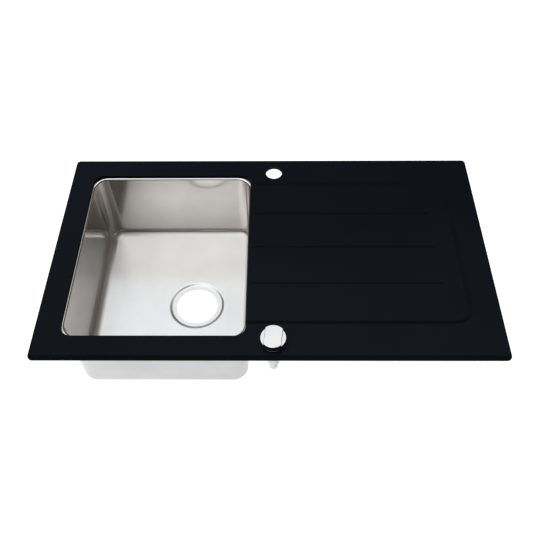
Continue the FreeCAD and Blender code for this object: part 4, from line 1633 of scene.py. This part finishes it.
@dataclass
class WasteControl:
    """Turn knob in the glass with its shank, seals, nut and cable housing."""

    axis: Pair = CONTROL_HOLE
    knob_radius: float = 23.5
    knob_span: Pair = (12.9, 27.0)
    knob_edge: float = 1.0
    knob_sides: int = 48
    knob_angle: float = 50.0
    ledge: float = 22.5
    grip_half: float = 16.0
    grip_turn: float = -6.0
    grip_inset: float = 1.0
    # Upward parts of the normal that tell faces apart.
    grip_normal: float = 0.8
    painted_highlight_normals: Pair = (0.25, 0.985)
    spindle_bore: float = 4.02
    spindle_depth: float = 8.0
    grub_bore: float = 2.02
    flange_radius: float = 23.0
    flange_span: Pair = (9.8, 12.6)
    flange_chamfer: float = 0.2
    flange_dome: tuple[Pair, ...] = ((0.0, 0.8), (0.3, 0.2), (0.8, 0.0))
    neck_end: float = -6.0
    neck_inset: float = 0.1
    shank_radius: float = 16.0
    shank_end: float = -26.0
    thread_depth: float = 0.8
    thread_pitch: float = 1.5
    thread_top: float = 2.0
    bearing_radius: float = 4.04
    bearing_shoulder: float = -4.0
    socket_radius: float = 10.0
    recess_radius: float = 8.0
    recess_floor: float = 11.0
    rings: tuple[Ring, ...] = (
        Ring("control_gasket", (16.75, 22.5), (9.0, 9.8), 0.2),
        Ring("control_rubber_washer", (16.3, 22.0), (0.8, 3.0), 0.5),
        Ring("control_slip_washer", (16.3, 22.0), (-0.4, 0.8), 0.15),
    )
    nut_half: float = 21.0
    nut_sides: int = 6
    nut_span: Pair = (-9.4, -0.4)
    nut_bore: float = 16.02
    nut_corner: float = 1.4
    nut_easing: float = 0.6
    housing_radius: float = 11.25
    housing_end: float = -62.4
    housing_rounding: float = 1.2
    plug_radius: float = 9.98
    plug_top: float = -12.0
    plug_chamfer: float = 0.5
    cavity_width: float = 14.0
    cavity_floor: float = -57.0
    cavity_corner: float = 2.0
    gland_radius: float = 7.5
    gland_end: float = -84.0
    gland_rounding: float = 1.5
    spigot_radius: float = 4.98
    spigot_play: float = 0.02
    sheath_radius: float = 3.0
    sheath_depth: float = 16.0
    sheath_chamfer: float = 0.4
    core_radius: float = 1.6

    def build(self) -> dict[str, Bench]:
        """Model every piece of the control.

        Returns:
            The finished meshes by CAD node.
        """
        made = {
            "control_knob": self.make_knob(),
            "control_shank": self.make_shank(),
            "control_nut": self.make_nut(),
            "control_housing": self.make_housing(),
            "cable_gland": self.make_gland(),
        }
        return made | {ring.node: ring.build(self.axis) for ring in self.rings}

    def make_knob(self) -> Bench:
        """Model the round knob, with a wide grip left standing across it.

        Returns:
            The finished mesh.
        """
        low, top = self.knob_span
        knob = Bench.drum("knob", self.knob_radius, (0, 0, low), top, self.knob_sides)
        knob.place(turn_to((0, 0), angle=180 / self.knob_sides))
        far = self.knob_radius + SPARE
        for side in (-1, 1):
            near, end = sorted((side * self.grip_half, side * far))
            knob.carve(Bench.block("side", (near, -far, self.ledge), (end, far, top + SPARE)))
        knob.bevel_sharp(self.knob_edge, segments=5, angle=self.knob_angle)
        bore = Bench.drum("bore", self.spindle_bore, (0, 0, low - SPARE), low + self.spindle_depth, sides=40)
        grub_height = (low + self.ledge) / 2
        hole = Bench.drum("grub", self.grub_bore, (0, 0, 0), far, sides=24)
        hole.place(Matrix.Translation((0, 0, grub_height)) @ Matrix.Rotation(math.radians(-90), 4, "X"))
        knob.carve(bore, hole, solver=Solver.FAST)
        knob.place(turn_to(self.axis, self.grip_turn))
        knob.shade()
        return knob

    def make_shank(self) -> Bench:
        """Model the threaded shank, with a round flange on the glass.

        Returns:
            The finished mesh.
        """
        under, top = self.flange_span
        root = self.shank_radius - self.thread_depth
        radii, span = (root, self.shank_radius), (self.shank_end, self.thread_top)
        shank = Bench.threaded("shank", radii, self.thread_pitch, span, self.axis, steps=64)
        neck = root - self.neck_inset
        flange = Bench.turned("flange", (
            (0, self.neck_end), (neck, self.neck_end), (neck, under),
            *button(self.flange_radius, self.flange_span, self.flange_chamfer, self.flange_dome),
        ), self.axis, steps=96)
        shank.carve(flange, join=True)
        above, inside = top + SPARE, self.bearing_shoulder - SPARE
        mouth = (*self.axis, self.shank_end - SPARE)
        shank.carve(
            Bench.drum("socket", self.socket_radius, mouth, self.bearing_shoulder, sides=64),
            Bench.drum("bearing", self.bearing_radius, (*self.axis, inside), above, sides=40),
            Bench.drum("recess", self.recess_radius, (*self.axis, self.recess_floor), above, sides=48),
        )
        shank.shade(angle=50)
        return shank

    def make_nut(self) -> Bench:
        """Model the six-sided back nut, with eased corners.

        Returns:
            The finished mesh.
        """
        low, high = self.nut_span
        radius = self.nut_half / math.cos(math.pi / self.nut_sides)
        nut = Bench.drum("back_nut", radius, (0, 0, low), high, self.nut_sides)
        nut.place(turn_to(self.axis, angle=180 / self.nut_sides))
        nut.bevel(self.nut_corner, segments=3, test=lambda middle: low + NEAR < middle.z < high - NEAR)
        nut.drill(self.nut_bore, self.axis, self.nut_span, sides=80)
        nut.ease(self.nut_easing, angle=50)
        nut.shade()
        return nut

    def make_housing(self) -> Bench:
        """Model the round housing, with a square cavity.

        Returns:
            The finished mesh.
        """
        radius, end, shoulder = self.housing_radius, self.housing_end, self.shank_end
        plug, plug_top, chamfer = self.plug_radius, self.plug_top, self.plug_chamfer
        housing = Bench.turned("housing", (
            (0, end), *rounding(radius, end, self.housing_rounding), (radius, shoulder), (plug, shoulder),
            (plug, plug_top - chamfer), (plug - chamfer, plug_top), (0, plug_top),
        ), self.axis, steps=72)
        width, floor = self.cavity_width, self.cavity_floor
        depth = plug_top - floor + SPARE
        outlet = self.spigot_radius + self.spigot_play
        housing.carve(
            Bench.slab("cavity", (width, width), (*self.axis, floor), self.cavity_corner, depth, segments=6),
            Bench.drum("outlet", outlet, (*self.axis, end - SPARE), floor + SPARE, sides=40),
        )
        housing.shade()
        return housing

    def make_gland(self) -> Bench:
        """Model the round nozzle for the cable's sheath.

        Returns:
            The finished mesh.
        """
        radius, end, start = self.gland_radius, self.gland_end, self.housing_end
        sheath, chamfer, core = self.sheath_radius, self.sheath_chamfer, self.core_radius
        spigot, spigot_top, sheath_end = self.spigot_radius, self.cavity_floor, end + self.sheath_depth
        gland = Bench.turned("gland", (
            (sheath + chamfer, end), *rounding(radius, end, self.gland_rounding), (radius, start),
            (spigot, start), (spigot, spigot_top), (core, spigot_top), (core, sheath_end),
            (sheath, sheath_end), (sheath, end + chamfer),
        ), self.axis, steps=56)
        gland.shade()
        return gland

    def dress(self, made: dict[str, Bench], finishes: Finishes) -> None:
        """Finish every piece of the control.

        Args:
            made: The finished meshes by CAD node.
            finishes: The finishes.
        """
        looks = {
            "control_knob": ("knob", "chrome", finishes.chrome),
            "control_shank": ("sink", "chrome", finishes.chrome),
            "control_nut": ("sink", "nut_plastic", finishes.nut_plastic),
            "control_housing": ("sink", "pale_plastic", finishes.pale_plastic),
            "cable_gland": ("sink", "pale_plastic", finishes.pale_plastic),
            "control_gasket": ("sink", "seal_rubber", finishes.rubber),
            "control_rubber_washer": ("sink", "seal_rubber", finishes.rubber),
            "control_slip_washer": ("sink", "slip_fibre", finishes.fibre),
        }
        for node, bench in made.items():
            body, slot, material = looks[node]
            settle_piece(bench, body, slot, material, node)
        low, high = self.painted_highlight_normals
        knob = made["control_knob"].obj
        # The knob's rounded edges get the near-white chrome as a painted highlight.
        dress_faces(knob, finishes.chrome_painted_highlight, lambda middle, normal: low < normal.z < high)
        dress_faces(knob, finishes.chrome_satin, self.on_grip_side)

    def on_grip_side(self, middle: Vector, normal: Vector) -> bool:
        """Whether a face is in an upright side of the grip."""
        inside = (middle.xy - Vector(self.axis)).length < self.knob_radius - self.grip_inset
        return inside and middle.z > self.ledge and abs(normal.z) < self.grip_normal


class InnerPieces:
    """Small CAD pieces that keep their own shape and get a finish."""

    def dress(self, finishes: Finishes) -> None:
        """Finish each piece.

        Args:
            finishes: The finishes.
        """
        looks = {
            "rail_bonds": finishes.sealant,
            "control_spindle": finishes.bare_steel,
            "spindle_circlip": finishes.bare_steel,
            "knob_grub_screw": finishes.bare_steel,
            "slider_pin": finishes.bare_steel,
            "spindle_oring": finishes.rubber,
            "cable_slider": finishes.slider_plastic,
        }
        for node, material in looks.items():
            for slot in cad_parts[node].material_slots:
                slot.material = material
            log.info("%s: CAD shape kept", node)


@dataclass
class Studio:
    """Pale floor, soft light and the camera. Angles are in degrees; the glow's places are in metres."""

    camera_place: Point = (15.2, -810.7, 1024.0)
    yaw: float = 1.068
    pitch: float = 53.264
    roll: float = 0.883
    focal_pixels: float = 651.0
    picture_pixels: float = 540.0
    sensor: float = 36.0
    floor_height: float = -187.5
    floor_side: float = 9.0
    floor_colour: Colour = (0.3, 0.3, 0.3)
    floor_roughness: float = 0.9
    floor_glow: Pair = (1.02, 0.2)
    glow_centre: Point = (-0.25, -0.55, 0.0)
    glow_reach: Pair = (0.35, 0.8)
    light_colour: Colour = (0.975, 1.0, 1.04)
    light_azimuth: float = 221.0
    light_height: float = 80.0
    light_span: Pair = (0.43, 0.83)
    light_values: Pair = (0.07, 1.6)
    screen_azimuth: float = 322.0
    screen_height: float = 20.0
    screen_span: Pair = (0.62, 0.74)
    screen_values: Pair = (1.0, 0.05)

    def build(self) -> None:
        """Set up the floor, the light and the camera."""
        self.add_floor()
        self.add_light()
        self.add_camera()

    def add_floor(self) -> None:
        """Lay a wide pale floor that glows softly and is clear from below."""
        bpy.ops.object.select_all(action="DESELECT")
        bpy.ops.mesh.primitive_plane_add(size=self.floor_side, location=(0, 0, self.floor_height * MM))
        floor = bpy.context.active_object
        floor.name = "studio_floor"
        tree = Tree("studio_floor_pale")
        tree.settle(
            Base_Color=(*self.floor_colour, 1), Roughness=self.floor_roughness, Emission_Color=(1, 1, 1, 1)
        )
        distance = tree.compare("DISTANCE", tree.object_coords, self.glow_centre)
        glow = tree.spread(distance, self.glow_reach, self.floor_glow, soft=True)
        tree.links.new(tree.seen_evenly(glow), tree.shader.inputs["Emission Strength"])
        clear = tree.nodes.new("ShaderNodeBsdfTransparent")
        mix = tree.nodes.new("ShaderNodeMixShader")
        side = tree.nodes.new("ShaderNodeNewGeometry")
        tree.links.new(side.outputs["Backfacing"], mix.inputs["Fac"])
        tree.links.new(tree.shader.outputs["BSDF"], mix.inputs[1])
        tree.links.new(clear.outputs["BSDF"], mix.inputs[2])
        tree.links.new(mix.outputs["Shader"], tree.nodes["Material Output"].inputs["Surface"])
        floor.data.materials.append(tree.material)

    def add_light(self) -> None:
        """Hang a wide soft light overhead, with a dark screen at the front right."""
        world = bpy.data.worlds.new("studio_world")
        graph = Graph(world)
        way = graph.nodes.new("ShaderNodeTexCoord").outputs["Generated"]
        light_way = self.aim(self.light_azimuth, self.light_height)
        screen_way = self.aim(self.screen_azimuth, self.screen_height)
        light_angle = graph.compare("DOT_PRODUCT", way, light_way)
        screen_angle = graph.compare("DOT_PRODUCT", way, screen_way)
        light = graph.spread(light_angle, self.light_span, self.light_values, soft=True)
        screen = graph.spread(screen_angle, self.screen_span, self.screen_values, soft=True)
        background = graph.nodes["Background"]
        background.inputs["Color"].default_value = (*self.light_colour, 1)
        graph.links.new(graph.seen_evenly(graph.product(light, screen)), background.inputs["Strength"])
        bpy.context.scene.world = world
        bpy.context.scene.view_settings.view_transform = "Standard"

    @staticmethod
    def aim(azimuth: float, height: float) -> Point:
        """Unit direction to an azimuth and a height, both in degrees."""
        turn, rise = math.radians(azimuth), math.radians(height)
        return math.cos(rise) * math.cos(turn), math.cos(rise) * math.sin(turn), math.sin(rise)

    def add_camera(self) -> None:
        """Set the camera at the photograph's place and angle."""
        data = bpy.data.cameras.new("camera")
        data.sensor_width = self.sensor
        data.lens = self.focal_pixels / self.picture_pixels * self.sensor
        camera = bpy.data.objects.new("camera", data)
        bpy.context.scene.collection.objects.link(camera)
        camera.matrix_world = (
            Matrix.Translation(Vector(self.camera_place) * MM)
            @ Matrix.Rotation(math.radians(self.yaw), 4, "Z")
            @ Matrix.Rotation(math.radians(90 - self.pitch), 4, "X")
            @ Matrix.Rotation(math.radians(-self.roll), 4, "Z")
        )
        bpy.context.scene.camera = camera


def main() -> None:
    """Build the sink's pieces in order, then the studio round them."""
    logging.basicConfig(level=logging.INFO, format="%(name)s: %(message)s")
    finishes = Finishes()
    bond = Strip(
        "bowl_bond", "adhesive", BOWL_CENTRE, outer=(366, 430), outer_corner=35, width=10, inner_corner=25,
        span=(2, 3), easing=0.3,
    )
    seal = Strip(
        "worktop_seal", "foam", (0, 0), outer=(857, 497), outer_corner=6.5, width=7, inner_corner=4,
        span=(0, 3), easing=0.9,
    )
    for assembly in (GlassTop(), Bowl(), bond, seal, SoundPad(), Rails(), Clips(), WasteControl()):
        assembly.dress(assembly.build(), finishes)
    InnerPieces().dress(finishes)
    Studio().build()


if __name__ == "__main__":
    main()
